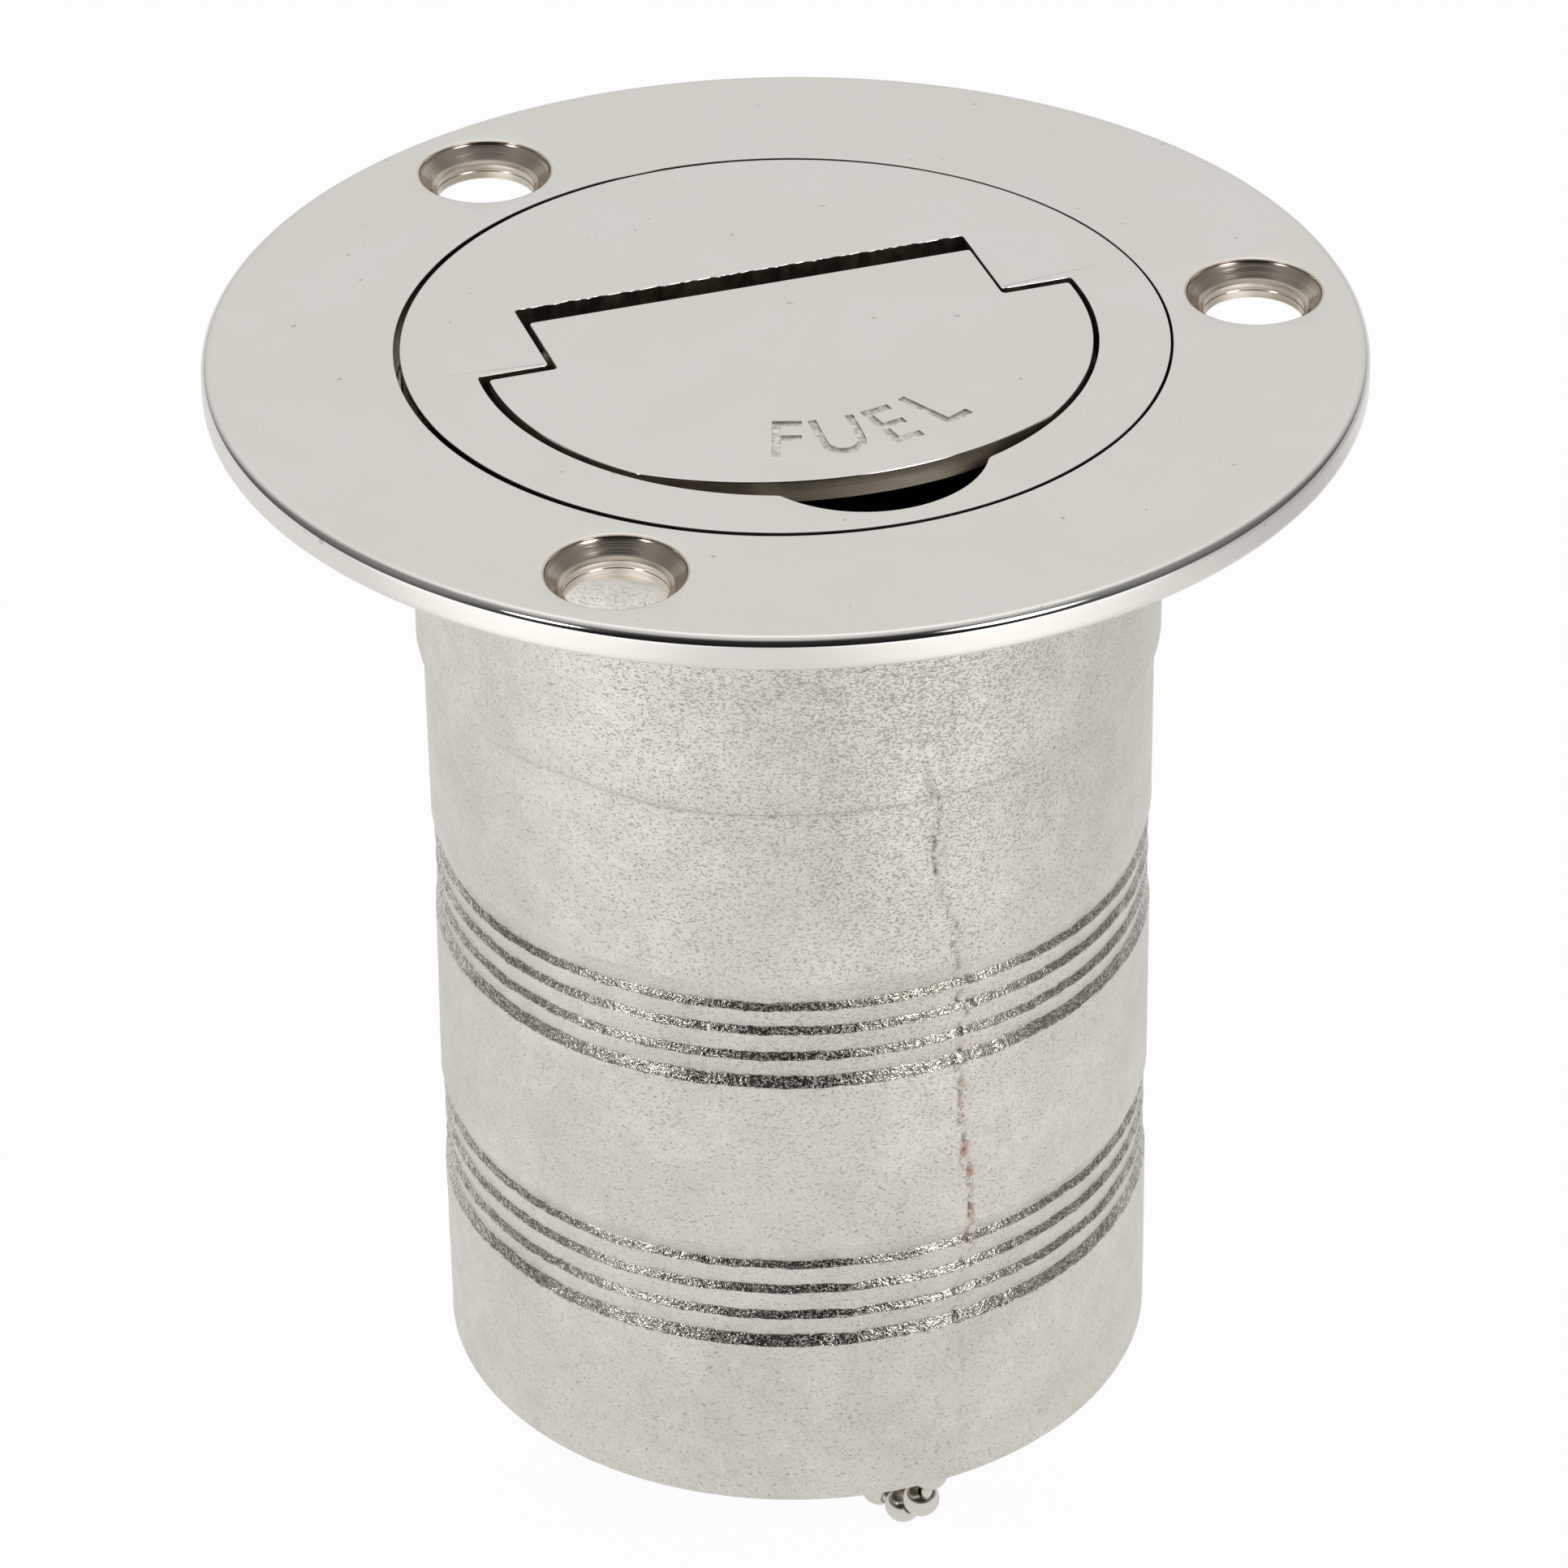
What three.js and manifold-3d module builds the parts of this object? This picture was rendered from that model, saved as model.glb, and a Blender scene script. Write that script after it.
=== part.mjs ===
// Deck fill cap: a round stainless flange with a barbed hose tail, closed by a flush screw cap
// that has a flip-up lift handle and is kept by a bead chain.
// Millimetres, +Z up. The origin is on the axis, in the plane of the flange's underside.

import * as THREE from 'three';
import { mergeVertices } from 'three/addons/utils/BufferGeometryUtils.js';
import Module from 'manifold-3d';

const wasm = await Module();
wasm.setup();

// ---- driving dimensions ----

const GAP = 0.3;                      // clearance between pieces that touch

const FLANGE_RADIUS = 40;
const FLANGE_TOP = 2.4;               // the underside is at z = 0
const EDGE_ROUND = 1;
const SCREW_CIRCLE_RADIUS = 33;
const SCREW_HOLE_RADIUS = 3.5;
const COUNTERSINK_RADIUS = 4.7;
const SCREW_HOLE_AZIMUTHS = [10.2, 130.2, 250.2];

const NECK_RADIUS = 26.1;
const NECK_FILLET = 5;
const STEP_Z = -19.8;
const TAIL_RADIUS = 25.62;
const TAIL_END_Z = -78.4;
const BORE_RADIUS = 22.6;

const BARB_ROOT_RADIUS = 25.2;
const BARB_CREST_RADIUS = 25.48;
const BARB_LIP_HEIGHT = 0.4;
const BARB_GROUPS = [                 // heights: upper edge, three lips, top and foot of the last lip
  { edge: -33.9, lips: [-35.55, -37.55, -39.7], last: [-41.4, -42.6] },
  { edge: -56.15, lips: [-57.35, -59.5, -61.7], last: [-63.5, -64.7] },
];

const HEAD_RADIUS = 26.4;
const HEAD_UNDERSIDE = -1;
const HEAD_SEAT_RADIUS = 26.7;
const HEAD_SEAT_Z = HEAD_UNDERSIDE - GAP;
const SEAL_NECK_RADIUS = 23.1;
const SEAL_SEAT_RADIUS = 25.4;
const SEAL_SEAT_Z = -3.3;
const SEAL_RING_RADIUS = 24.3;
const SEAL_CORD_RADIUS = 0.85;

const PITCH = 2;                      // right-hand thread
const MALE_ROOT_RADIUS = 22.55;
const MALE_CREST_RADIUS = 23.4;
const MALE_THREAD = { top: -4.2, turns: 3 };
const FEMALE_ROOT_RADIUS = 23.7;
const FEMALE_CREST_RADIUS = 22.85;
const FEMALE_THREAD = { top: -4.8, turns: 3.75 };
const FEMALE_ZONE_END = -13.2;
const RIDGE_ROOT_WIDTH = 0.9;
const RIDGE_CREST_WIDTH = 0.45;
const PLUG_END_Z = -11;
const PLUG_CAVITY_RADIUS = 18.5;
const PLUG_CAVITY_Z = -8;

const HINGE_AZIMUTH = 17.95;          // direction of the handle's hinge line
const HINGE_OFFSET = 4.8;             // from the axis, away from the finger notch
const HINGE_Z = 0.8;
const RECESS = { halfWidth: 16.4, straight: 9.95, shoulder: 1.7, radius: 21.5 };
const HANDLE = { halfWidth: 16.1, straight: 7.9, shoulder: 1.1, radius: 21 };
const HANDLE_FRONT = { t: 0.4, n: 7.05, radius: 26.6 };   // flatter arc that trims the handle's front
const LEDGE_Z = -0.1;
const RECESS_FLOOR_Z = -3.6;
const LOWER_POCKET_RADIUS = 18.5;
const NOTCH = { t: 0.25, n: -16.36, radius: 8.3 };
const NOTCH_POCKET_RADIUS = 21;
const PLATE_UNDERSIDE = LEDGE_Z + GAP;
const KNUCKLE_UNDERSIDE = -0.8;
const KNUCKLE_START = 1.7;
const SCOOP = { t: 0.25, n: -17.5, radius: 9.2, top: 1 };
const PIN_RADIUS = 0.8;
const PIN_HOLE_RADIUS = 1;
const PIN_INNER_END = 12.5;
const PIN_OUTER_END = 24.5;
const PIN_HOLE_INNER_END = PIN_INNER_END - GAP;

const CHAIN_AZIMUTH = -60;            // the chain hangs in the plane through the axis at this azimuth
const CHAIN_DIAMETER = 2.7;
const SHANK_RADIUS = 2;
const SHANK_HOLE_RADIUS = 2.3;
const SCREW_HEAD_RADIUS = 3.75;
const SCREW_HEAD_HEIGHT = 2;
const SCREW_SLOT_WIDTH = 0.9;
const SCREW_SLOT_DEPTH = 0.8;
const WASHER_RADIUS = 4.4;
const STAMPING_THICKNESS = 0.6;
const EYELET_RADIUS = 4.4;
const EYELET_ARM_WIDTH = 4;
const CAP_BOSS_RADIUS = 5;
const CAP_BOSS_Z = -10.5;
const CAP_SHANK_END_Z = -5.8;
const CAP_TAB_END_Z = -17.2;
const WALL_BOSS_RADIUS = 4.6;
const WALL_BOSS_FACE = 20.6;          // distance from the axis
const WALL_SHANK_END = 23.2;
const ANCHOR_Z = -68.5;
const BODY_TAB_END_Z = -74.2;

// Points that the chain passes through, as [distance from the axis, height], chosen by hand.
const CHAIN_CAP_ROUTE = [
  [5.6, -17.5], [5.6, -23], [5.6, -30], [5.6, -37], [5.6, -44], [5.6, -51], [5.6, -58], [5.6, -65],
  [5.6, -71], [5.6, -76.5], [5.6, -79.5], [5.6, -82.25], [6.12, -84.84], [7.58, -87.02], [9.76, -88.48],
  [11.35, -88.93], [12.2, -89],
];
const CHAIN_BODY_ROUTE = [
  [12.5, -89], [13.35, -88.93], [14.94, -88.48], [17.12, -87.02], [18.58, -84.84], [19.1, -82.25],
  [19.1, -79.5], [19.1, -77], [19.1, -74.5],
];

const TURNED_SEGMENTS = 40;
const THREAD_SEGMENTS = 30;           // per turn
const HOLE_SEGMENTS = 20;

// ---- materials ----

const polishedSteel = new THREE.MeshStandardMaterial({ color: 0xd1cfc9, metalness: 1, roughness: 0.18 });
const castSteel = new THREE.MeshStandardMaterial({ color: 0xc8c5be, metalness: 1, roughness: 0.45 });
const brushedSteel = new THREE.MeshStandardMaterial({ color: 0xbdb7ac, metalness: 1, roughness: 0.3 });
const blackRubber = new THREE.MeshStandardMaterial({ color: 0x161616, metalness: 0, roughness: 0.7 });
const chromedBrass = new THREE.MeshStandardMaterial({ color: 0xd8d6d2, metalness: 1, roughness: 0.12 });

// ---- solids ----

// A closed three.js geometry as a solid for joining and cutting.
function solid(geometry) {
  const bare = geometry.clone();
  bare.deleteAttribute('normal');
  bare.deleteAttribute('uv');
  const merged = mergeVertices(bare, 1e-4);
  const vertProperties = new Float32Array(merged.attributes.position.array);
  const triVerts = new Uint32Array(merged.index.array);
  return new wasm.Manifold(new wasm.Mesh({ numProp: 3, vertProperties, triVerts }));
}

// A solid as a named mesh.
function mesh(name, shape, material) {
  const { vertProperties, triVerts } = shape.getMesh();
  const geometry = new THREE.BufferGeometry();
  geometry.setAttribute('position', new THREE.BufferAttribute(new Float32Array(vertProperties), 3));
  geometry.setIndex(new THREE.BufferAttribute(new Uint32Array(triVerts), 1));
  geometry.computeVertexNormals();
  const made = new THREE.Mesh(geometry, material);
  made.name = name;
  return made;
}

// A body of revolution about Z from [radius, height] points, which run anticlockwise.
function turned(points, segments = TURNED_SEGMENTS) {
  const profile = points.map(([radius, height]) => new THREE.Vector2(radius, height));
  return new THREE.LatheGeometry(profile, segments).rotateX(Math.PI / 2);
}

// A profile that doesn't touch the axis, closed on itself.
function ring(points, segments) {
  return turned([...points, points[0]], segments);
}

// An upright cylinder between two heights.
function rod(radius, bottom, top, segments = HOLE_SEGMENTS) {
  return turned([[0, bottom], [radius, bottom], [radius, top], [0, top]], segments);
}

// An outline in the plane z = 0, raised between two heights.
function plate(outline, bottom, top, curveSegments = 24) {
  const settings = { depth: top - bottom, bevelEnabled: false, curveSegments };
  const raised = new THREE.ExtrudeGeometry(outline, settings);
  return raised.translate(0, 0, bottom);
}

// Points on an arc about [radius, height], from one angle to another in degrees, both ends included.
function arc([radius, height], size, from, to, steps) {
  return Array.from({ length: steps + 1 }, (_, i) => {
    const angle = THREE.MathUtils.degToRad(from + ((to - from) * i) / steps);
    return [radius + size * Math.cos(angle), height + size * Math.sin(angle)];
  });
}

// Turns a geometry about Z by an azimuth in degrees.
function turnedTo(azimuth, geometry) {
  return geometry.rotateZ(THREE.MathUtils.degToRad(azimuth));
}

// A geometry made along Z, laid along +X instead, so that its height becomes its distance from the axis.
function laidOut(geometry) {
  return geometry.rotateY(Math.PI / 2);
}

// ---- thread ----

// A helical ridge: a trapezoid from root to crest, carried round the axis at the thread's pitch.
// Its middle passes azimuth zero at phase * PITCH and every whole pitch from there, so two ridges
// whose phases differ by a half run midway between each other. It ends at the height top.
function helicalRidge(root, crest, phase, { top, turns }) {
  const steps = Math.round(turns * THREAD_SEGMENTS);
  const section = [
    [root, -RIDGE_ROOT_WIDTH / 2], [crest, -RIDGE_CREST_WIDTH / 2],
    [crest, RIDGE_CREST_WIDTH / 2], [root, RIDGE_ROOT_WIDTH / 2],
  ];
  const startTurn = top / PITCH - phase - turns;
  const positions = [];
  for (let step = 0; step <= steps; step += 1) {
    const turn = startTurn + step / THREAD_SEGMENTS;
    const angle = 2 * Math.PI * turn;
    for (const [radius, rise] of section) {
      const height = (turn + phase) * PITCH + rise;
      positions.push(radius * Math.cos(angle), radius * Math.sin(angle), height);
    }
  }
  const faces = [0, 1, 2, 0, 2, 3];
  const last = 4 * steps;
  faces.push(last, last + 2, last + 1, last, last + 3, last + 2);
  for (let step = 0; step < steps; step += 1) {
    for (let side = 0; side < 4; side += 1) {
      const a = 4 * step + side;
      const b = 4 * step + ((side + 1) % 4);
      faces.push(a, a + 4, b, b, a + 4, b + 4);
    }
  }
  const outward = crest > root;
  if (!outward) faces.reverse();
  const geometry = new THREE.BufferGeometry();
  geometry.setAttribute('position', new THREE.Float32BufferAttribute(positions, 3));
  geometry.setIndex(faces);
  return geometry;
}

// ---- handle and recess outlines, in hinge coordinates: t along the hinge line, n across it ----

function handleOutline({ halfWidth, straight, shoulder, radius }) {
  const angle = Math.asin(shoulder / radius);
  const reach = radius * Math.cos(angle);
  const outline = new THREE.Shape();
  outline.moveTo(-halfWidth, straight);
  outline.lineTo(-halfWidth, shoulder);
  outline.lineTo(-reach, shoulder);
  outline.absarc(0, 0, radius, Math.PI - angle, 2 * Math.PI + angle, false);
  outline.lineTo(halfWidth, shoulder);
  outline.lineTo(halfWidth, straight);
  outline.closePath();
  return outline;
}

function rectangle(left, right, bottom, top) {
  const outline = new THREE.Shape();
  outline.moveTo(left, bottom);
  outline.lineTo(right, bottom);
  outline.lineTo(right, top);
  outline.lineTo(left, top);
  outline.closePath();
  return outline;
}

function circle({ t = 0, n = 0, radius }) {
  return new THREE.Shape().absarc(t, n, radius, 0, 2 * Math.PI, false);
}

const inHinge = (geometry) => solid(turnedTo(HINGE_AZIMUTH, geometry));

// ---- the casting ----

function barbProfile({ edge, lips, last }) {
  const [lastTop, lastFoot] = last;
  const points = [[TAIL_RADIUS, lastFoot], [BARB_ROOT_RADIUS, lastTop]];
  for (const lip of [...lips].reverse()) {
    points.push([BARB_CREST_RADIUS, lip - BARB_LIP_HEIGHT], [BARB_ROOT_RADIUS, lip]);
  }
  points.push([TAIL_RADIUS, edge]);
  return points;
}

function deckFlangeCasting() {
  const [upperBarbs, lowerBarbs] = BARB_GROUPS;
  const outside = [
    [BORE_RADIUS + 0.4, TAIL_END_Z], [TAIL_RADIUS - 0.6, TAIL_END_Z],
    [TAIL_RADIUS - 0.15, TAIL_END_Z + 0.25], [TAIL_RADIUS, TAIL_END_Z + 0.8],
    ...barbProfile(lowerBarbs), ...barbProfile(upperBarbs),
    [TAIL_RADIUS, STEP_Z - 0.1], [NECK_RADIUS, STEP_Z],
    ...arc([NECK_RADIUS + NECK_FILLET, -NECK_FILLET], NECK_FILLET, 180, 90, 4),
    [FLANGE_RADIUS - 0.4, 0], [FLANGE_RADIUS - 0.1, 0.15], [FLANGE_RADIUS, 0.5],
    ...arc([FLANGE_RADIUS - EDGE_ROUND, FLANGE_TOP - EDGE_ROUND], EDGE_ROUND, 0, 90, 3),
  ];
  const inside = [
    [HEAD_SEAT_RADIUS + 0.2, FLANGE_TOP], [HEAD_SEAT_RADIUS, FLANGE_TOP - 0.2],
    [HEAD_SEAT_RADIUS, HEAD_SEAT_Z], [SEAL_SEAT_RADIUS, HEAD_SEAT_Z],
    [SEAL_SEAT_RADIUS, SEAL_SEAT_Z], [FEMALE_ROOT_RADIUS, SEAL_SEAT_Z],
    [FEMALE_ROOT_RADIUS, FEMALE_ZONE_END], [BORE_RADIUS, FEMALE_ZONE_END - 1.1],
    [BORE_RADIUS, TAIL_END_Z + 0.4],
  ];
  let casting = solid(ring([...outside, ...inside]));
  const thread = helicalRidge(FEMALE_ROOT_RADIUS + 0.2, FEMALE_CREST_RADIUS, 0.5, FEMALE_THREAD);
  casting = casting.add(solid(thread));

  const wallBoss = laidOut(rod(WALL_BOSS_RADIUS, WALL_BOSS_FACE, BORE_RADIUS + 1.2, 24));
  casting = casting.add(solid(turnedTo(CHAIN_AZIMUTH, wallBoss.translate(0, 0, ANCHOR_Z))));
  const anchorHole = laidOut(rod(SHANK_HOLE_RADIUS, WALL_BOSS_FACE - 1, WALL_SHANK_END + GAP));
  casting = casting.subtract(solid(turnedTo(CHAIN_AZIMUTH, anchorHole.translate(0, 0, ANCHOR_Z))));

  const countersinkFoot = FLANGE_TOP - (COUNTERSINK_RADIUS - SCREW_HOLE_RADIUS);
  for (const azimuth of SCREW_HOLE_AZIMUTHS) {
    const drill = turned([
      [0, -3], [SCREW_HOLE_RADIUS, -3], [SCREW_HOLE_RADIUS, countersinkFoot],
      [COUNTERSINK_RADIUS + 0.5, FLANGE_TOP + 0.5], [0, FLANGE_TOP + 0.5],
    ], 24);
    casting = casting.subtract(solid(turnedTo(azimuth, drill.translate(SCREW_CIRCLE_RADIUS, 0, 0))));
  }
  return mesh('deck_flange_casting', casting, castSteel);
}

// ---- the cap and what is fixed to it ----

function threadedCap() {
  let cap = solid(turned([
    [0, PLUG_CAVITY_Z], [PLUG_CAVITY_RADIUS, PLUG_CAVITY_Z], [PLUG_CAVITY_RADIUS, PLUG_END_Z],
    [MALE_ROOT_RADIUS - 0.5, PLUG_END_Z], [MALE_ROOT_RADIUS, PLUG_END_Z + 0.5],
    [MALE_ROOT_RADIUS, SEAL_SEAT_Z - 0.1], [SEAL_NECK_RADIUS, SEAL_SEAT_Z - 0.1],
    [SEAL_NECK_RADIUS, HEAD_UNDERSIDE], [HEAD_RADIUS, HEAD_UNDERSIDE],
    [HEAD_RADIUS, FLANGE_TOP - 0.2], [HEAD_RADIUS - 0.2, FLANGE_TOP], [0, FLANGE_TOP],
  ]));
  cap = cap.add(solid(helicalRidge(MALE_ROOT_RADIUS - 0.2, MALE_CREST_RADIUS, 0, MALE_THREAD)));
  cap = cap.add(solid(rod(CAP_BOSS_RADIUS, CAP_BOSS_Z, PLUG_CAVITY_Z + 0.5, 24)));
  cap = cap.subtract(solid(rod(SHANK_HOLE_RADIUS, CAP_BOSS_Z - 1, CAP_SHANK_END_Z + GAP)));

  const above = FLANGE_TOP + 1;
  cap = cap.subtract(inHinge(plate(handleOutline(RECESS), LEDGE_Z, above)));
  cap = cap.subtract(inHinge(plate(circle(NOTCH), LEDGE_Z, above, 32)));
  const belowStraight = inHinge(plate(rectangle(-30, 30, -30, RECESS.straight), RECESS_FLOOR_Z, above));
  cap = cap.subtract(solid(rod(LOWER_POCKET_RADIUS, RECESS_FLOOR_Z, above, 40)).intersect(belowStraight));
  const knucklePocket = rectangle(-RECESS.halfWidth, RECESS.halfWidth, 0, RECESS.straight);
  cap = cap.subtract(inHinge(plate(knucklePocket, RECESS_FLOOR_Z, above)));
  const insideWall = solid(rod(NOTCH_POCKET_RADIUS, RECESS_FLOOR_Z, above, 40));
  cap = cap.subtract(inHinge(plate(circle(NOTCH), RECESS_FLOOR_Z, above, 32)).intersect(insideWall));
  cap = cap.subtract(inHinge(hingeRod(PIN_HOLE_RADIUS, -HEAD_RADIUS - 1, HEAD_RADIUS + 1)));
  return mesh('threaded_cap', cap, polishedSteel);
}

// A rod on the hinge line between two places along it.
function hingeRod(radius, from, to) {
  return laidOut(rod(radius, from, to, 16)).translate(0, HINGE_OFFSET, HINGE_Z);
}

function liftHandle() {
  let handle = inHinge(plate(handleOutline(HANDLE), PLATE_UNDERSIDE, FLANGE_TOP));
  const front = plate(circle(HANDLE_FRONT), PLATE_UNDERSIDE - 1, FLANGE_TOP + 1, 72);
  handle = handle.intersect(inHinge(front));
  const knuckle = rectangle(-HANDLE.halfWidth, HANDLE.halfWidth, KNUCKLE_START, HANDLE.straight);
  handle = handle.add(inHinge(plate(knuckle, KNUCKLE_UNDERSIDE, FLANGE_TOP)));
  handle = handle.subtract(inHinge(plate(circle(SCOOP), PLATE_UNDERSIDE - 1, SCOOP.top, 24)));
  for (const [from, to] of [[-20, -PIN_HOLE_INNER_END], [PIN_HOLE_INNER_END, 20]]) {
    handle = handle.subtract(inHinge(hingeRod(PIN_HOLE_RADIUS, from, to)));
  }
  return mesh('lift_handle', handle, polishedSteel);
}

function hingePins() {
  return [
    mesh('hinge_pin_left', inHinge(hingeRod(PIN_RADIUS, -PIN_OUTER_END, -PIN_INNER_END)), brushedSteel),
    mesh('hinge_pin_right', inHinge(hingeRod(PIN_RADIUS, PIN_INNER_END, PIN_OUTER_END)), brushedSteel),
  ];
}

function capSeal() {
  const middle = (HEAD_UNDERSIDE + SEAL_SEAT_Z) / 2;
  const section = arc([SEAL_RING_RADIUS, middle], SEAL_CORD_RADIUS, 0, 300, 5);
  return mesh('cap_o_ring', solid(ring(section)), blackRubber);
}

// ---- chain fittings: each stack is made along Z, away from its seat, and then put in place ----

const WASHER_START = GAP;
const EYELET_START = WASHER_START + STAMPING_THICKNESS + GAP;
const HEAD_START = EYELET_START + STAMPING_THICKNESS + GAP;

// A slotted pan head screw whose seat is at height 0 and whose head hangs below it.
function panHeadScrew(shankEnd) {
  const headEnd = -HEAD_START - SCREW_HEAD_HEIGHT;
  const screw = solid(turned([
    [0, headEnd], [SCREW_HEAD_RADIUS - 0.8, headEnd], [SCREW_HEAD_RADIUS, headEnd + 0.8],
    [SCREW_HEAD_RADIUS, -HEAD_START], [SHANK_RADIUS, -HEAD_START],
    [SHANK_RADIUS, shankEnd - 0.4], [SHANK_RADIUS - 0.4, shankEnd], [0, shankEnd],
  ], 24));
  const [slotReach, slotHalf] = [2 * SCREW_HEAD_RADIUS, SCREW_SLOT_WIDTH / 2];
  const slot = rectangle(-slotReach, slotReach, -slotHalf, slotHalf);
  return screw.subtract(solid(plate(slot, headEnd - 1, headEnd + SCREW_SLOT_DEPTH)));
}

function washer() {
  const [outer, inner] = [WASHER_RADIUS, SHANK_HOLE_RADIUS];
  const [top, bottom] = [-WASHER_START, -WASHER_START - STAMPING_THICKNESS];
  return solid(ring([[inner, bottom], [outer, bottom], [outer, top], [inner, top]], 24));
}

// The eyelet's flat ring with its arm, which reaches along +X.
function eyeletPlate(reach) {
  const [top, bottom] = [-EYELET_START, -EYELET_START - STAMPING_THICKNESS];
  const arm = plate(rectangle(0, reach, -EYELET_ARM_WIDTH / 2, EYELET_ARM_WIDTH / 2), bottom, top);
  const body = solid(rod(EYELET_RADIUS, bottom, top, 24)).add(solid(arm));
  return body.subtract(solid(rod(SHANK_HOLE_RADIUS, bottom - 1, top + 1)));
}

function capChainFittings() {
  const place = (shape) => shape.rotate([0, 0, CHAIN_AZIMUTH]).translate([0, 0, CAP_BOSS_Z]);
  const [chainStart] = CHAIN_CAP_ROUTE;
  const reach = chainStart[0] + STAMPING_THICKNESS / 2;
  const armHalf = EYELET_ARM_WIDTH / 2;
  const tabOutline = rectangle(reach - STAMPING_THICKNESS, reach, -armHalf, armHalf);
  const tab = solid(plate(tabOutline, CAP_TAB_END_Z - CAP_BOSS_Z, -EYELET_START));
  return [
    mesh('chain_swivel_screw', place(panHeadScrew(CAP_SHANK_END_Z - CAP_BOSS_Z)), brushedSteel),
    mesh('chain_swivel_washer', place(washer()), brushedSteel),
    mesh('cap_chain_eyelet', place(eyeletPlate(reach).add(tab)), brushedSteel),
  ];
}

// On the tail's wall the stack points at the axis: its height becomes distance from the axis,
// and the eyelet's arm points down.
function bodyChainFittings() {
  const place = (shape) => shape.rotate([0, 90, 0]).translate([WALL_BOSS_FACE, 0, ANCHOR_Z])
    .rotate([0, 0, CHAIN_AZIMUTH]);
  return [
    mesh('anchor_screw', place(panHeadScrew(WALL_SHANK_END - WALL_BOSS_FACE)), brushedSteel),
    mesh('anchor_washer', place(washer()), brushedSteel),
    mesh('body_chain_eyelet', place(eyeletPlate(ANCHOR_Z - BODY_TAB_END_Z)), brushedSteel),
  ];
}

// ---- the chain ----

function chainStretch(name, route, steps) {
  const azimuth = THREE.MathUtils.degToRad(CHAIN_AZIMUTH);
  const points = route.map(([reach, height]) => (
    new THREE.Vector3(reach * Math.cos(azimuth), reach * Math.sin(azimuth), height)));
  const extrudePath = new THREE.CatmullRomCurve3(points, false, 'centripetal');
  const section = new THREE.Shape();
  for (let side = 0; side < 8; side += 1) {
    const angle = (2 * Math.PI * side) / 8;
    const [x, y] = [Math.cos(angle), Math.sin(angle)].map((v) => (v * CHAIN_DIAMETER) / 2);
    if (side === 0) section.moveTo(x, y);
    else section.lineTo(x, y);
  }
  section.closePath();
  const tube = new THREE.ExtrudeGeometry(section, { extrudePath, steps, bevelEnabled: false });
  return mesh(name, solid(tube), chromedBrass);
}

// ---- the assembly ----

const body = new THREE.Group();
body.name = 'deck_body';
body.add(deckFlangeCasting(), ...bodyChainFittings(), chainStretch('chain_body_side', CHAIN_BODY_ROUTE, 12));

const cap = new THREE.Group();
cap.name = 'cap';
cap.add(threadedCap(), capSeal(), ...hingePins(), ...capChainFittings());

const group = new THREE.Group();
group.name = 'deck_fill_cap';
group.add(body, cap, liftHandle(), chainStretch('chain_cap_side', CHAIN_CAP_ROUTE, 28));

export default group;
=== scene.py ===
# %% [markdown]
# # A stainless deck fill with its screw cap, lift handle and bead chain
# The fill is one investment casting: a polished flange that lies on the deck, a short neck with the cap's
# thread inside it, and a barbed tail for the hose. A flush cap screws into it. A flat handle folds up out
# of the cap, and a chain of hollow balls keeps the cap from falling overboard.
#
# Nearly every piece was made on a lathe or cast in a round mould. So nearly every piece here is a stack of
# rings: each ring is a closed line of points at one height. That one idea makes the barbs, the threads, the
# handle's odd D shape and the screws.

# %% Load the measured frame
import math

import bmesh
import bpy
import numpy as np
from mathutils import Matrix, Quaternion, Vector


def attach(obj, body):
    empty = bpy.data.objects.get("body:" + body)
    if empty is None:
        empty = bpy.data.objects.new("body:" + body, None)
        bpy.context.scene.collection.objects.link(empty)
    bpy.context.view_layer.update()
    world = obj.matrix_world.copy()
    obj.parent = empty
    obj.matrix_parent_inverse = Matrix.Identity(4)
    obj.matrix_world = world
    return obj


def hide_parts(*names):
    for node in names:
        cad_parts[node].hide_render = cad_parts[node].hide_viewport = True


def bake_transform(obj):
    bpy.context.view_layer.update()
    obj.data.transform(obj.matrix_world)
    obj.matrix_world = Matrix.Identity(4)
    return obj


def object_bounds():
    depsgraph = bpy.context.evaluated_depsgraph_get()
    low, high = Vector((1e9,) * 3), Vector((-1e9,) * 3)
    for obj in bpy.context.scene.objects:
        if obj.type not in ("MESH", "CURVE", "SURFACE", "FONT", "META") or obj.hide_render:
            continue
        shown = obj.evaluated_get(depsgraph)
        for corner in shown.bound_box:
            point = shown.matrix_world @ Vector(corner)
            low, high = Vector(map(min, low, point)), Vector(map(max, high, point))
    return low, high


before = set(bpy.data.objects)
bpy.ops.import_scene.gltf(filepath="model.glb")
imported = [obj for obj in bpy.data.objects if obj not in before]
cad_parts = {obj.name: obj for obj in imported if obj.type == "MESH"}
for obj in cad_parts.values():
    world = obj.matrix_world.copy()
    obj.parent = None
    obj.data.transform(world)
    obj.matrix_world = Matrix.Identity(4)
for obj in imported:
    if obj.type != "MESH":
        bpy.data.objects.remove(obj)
CAD_BOX = [list(corner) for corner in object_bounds()]
MM = 0.001

# %% [markdown]
# ## Camera
# Small hardware is best seen from some way off through a long lens, which keeps the round flange from
# looking swollen. The camera looks down at about thirty degrees and is turned by under a degree.

# %% Place the camera
CAMERA_PLACE = Vector((0.0, -437.24, 243.21)) * MM
CAMERA_AIM = Vector((-0.48, 0.0, -33.78)) * MM
CAMERA_TURN_DEG = -0.76

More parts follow.
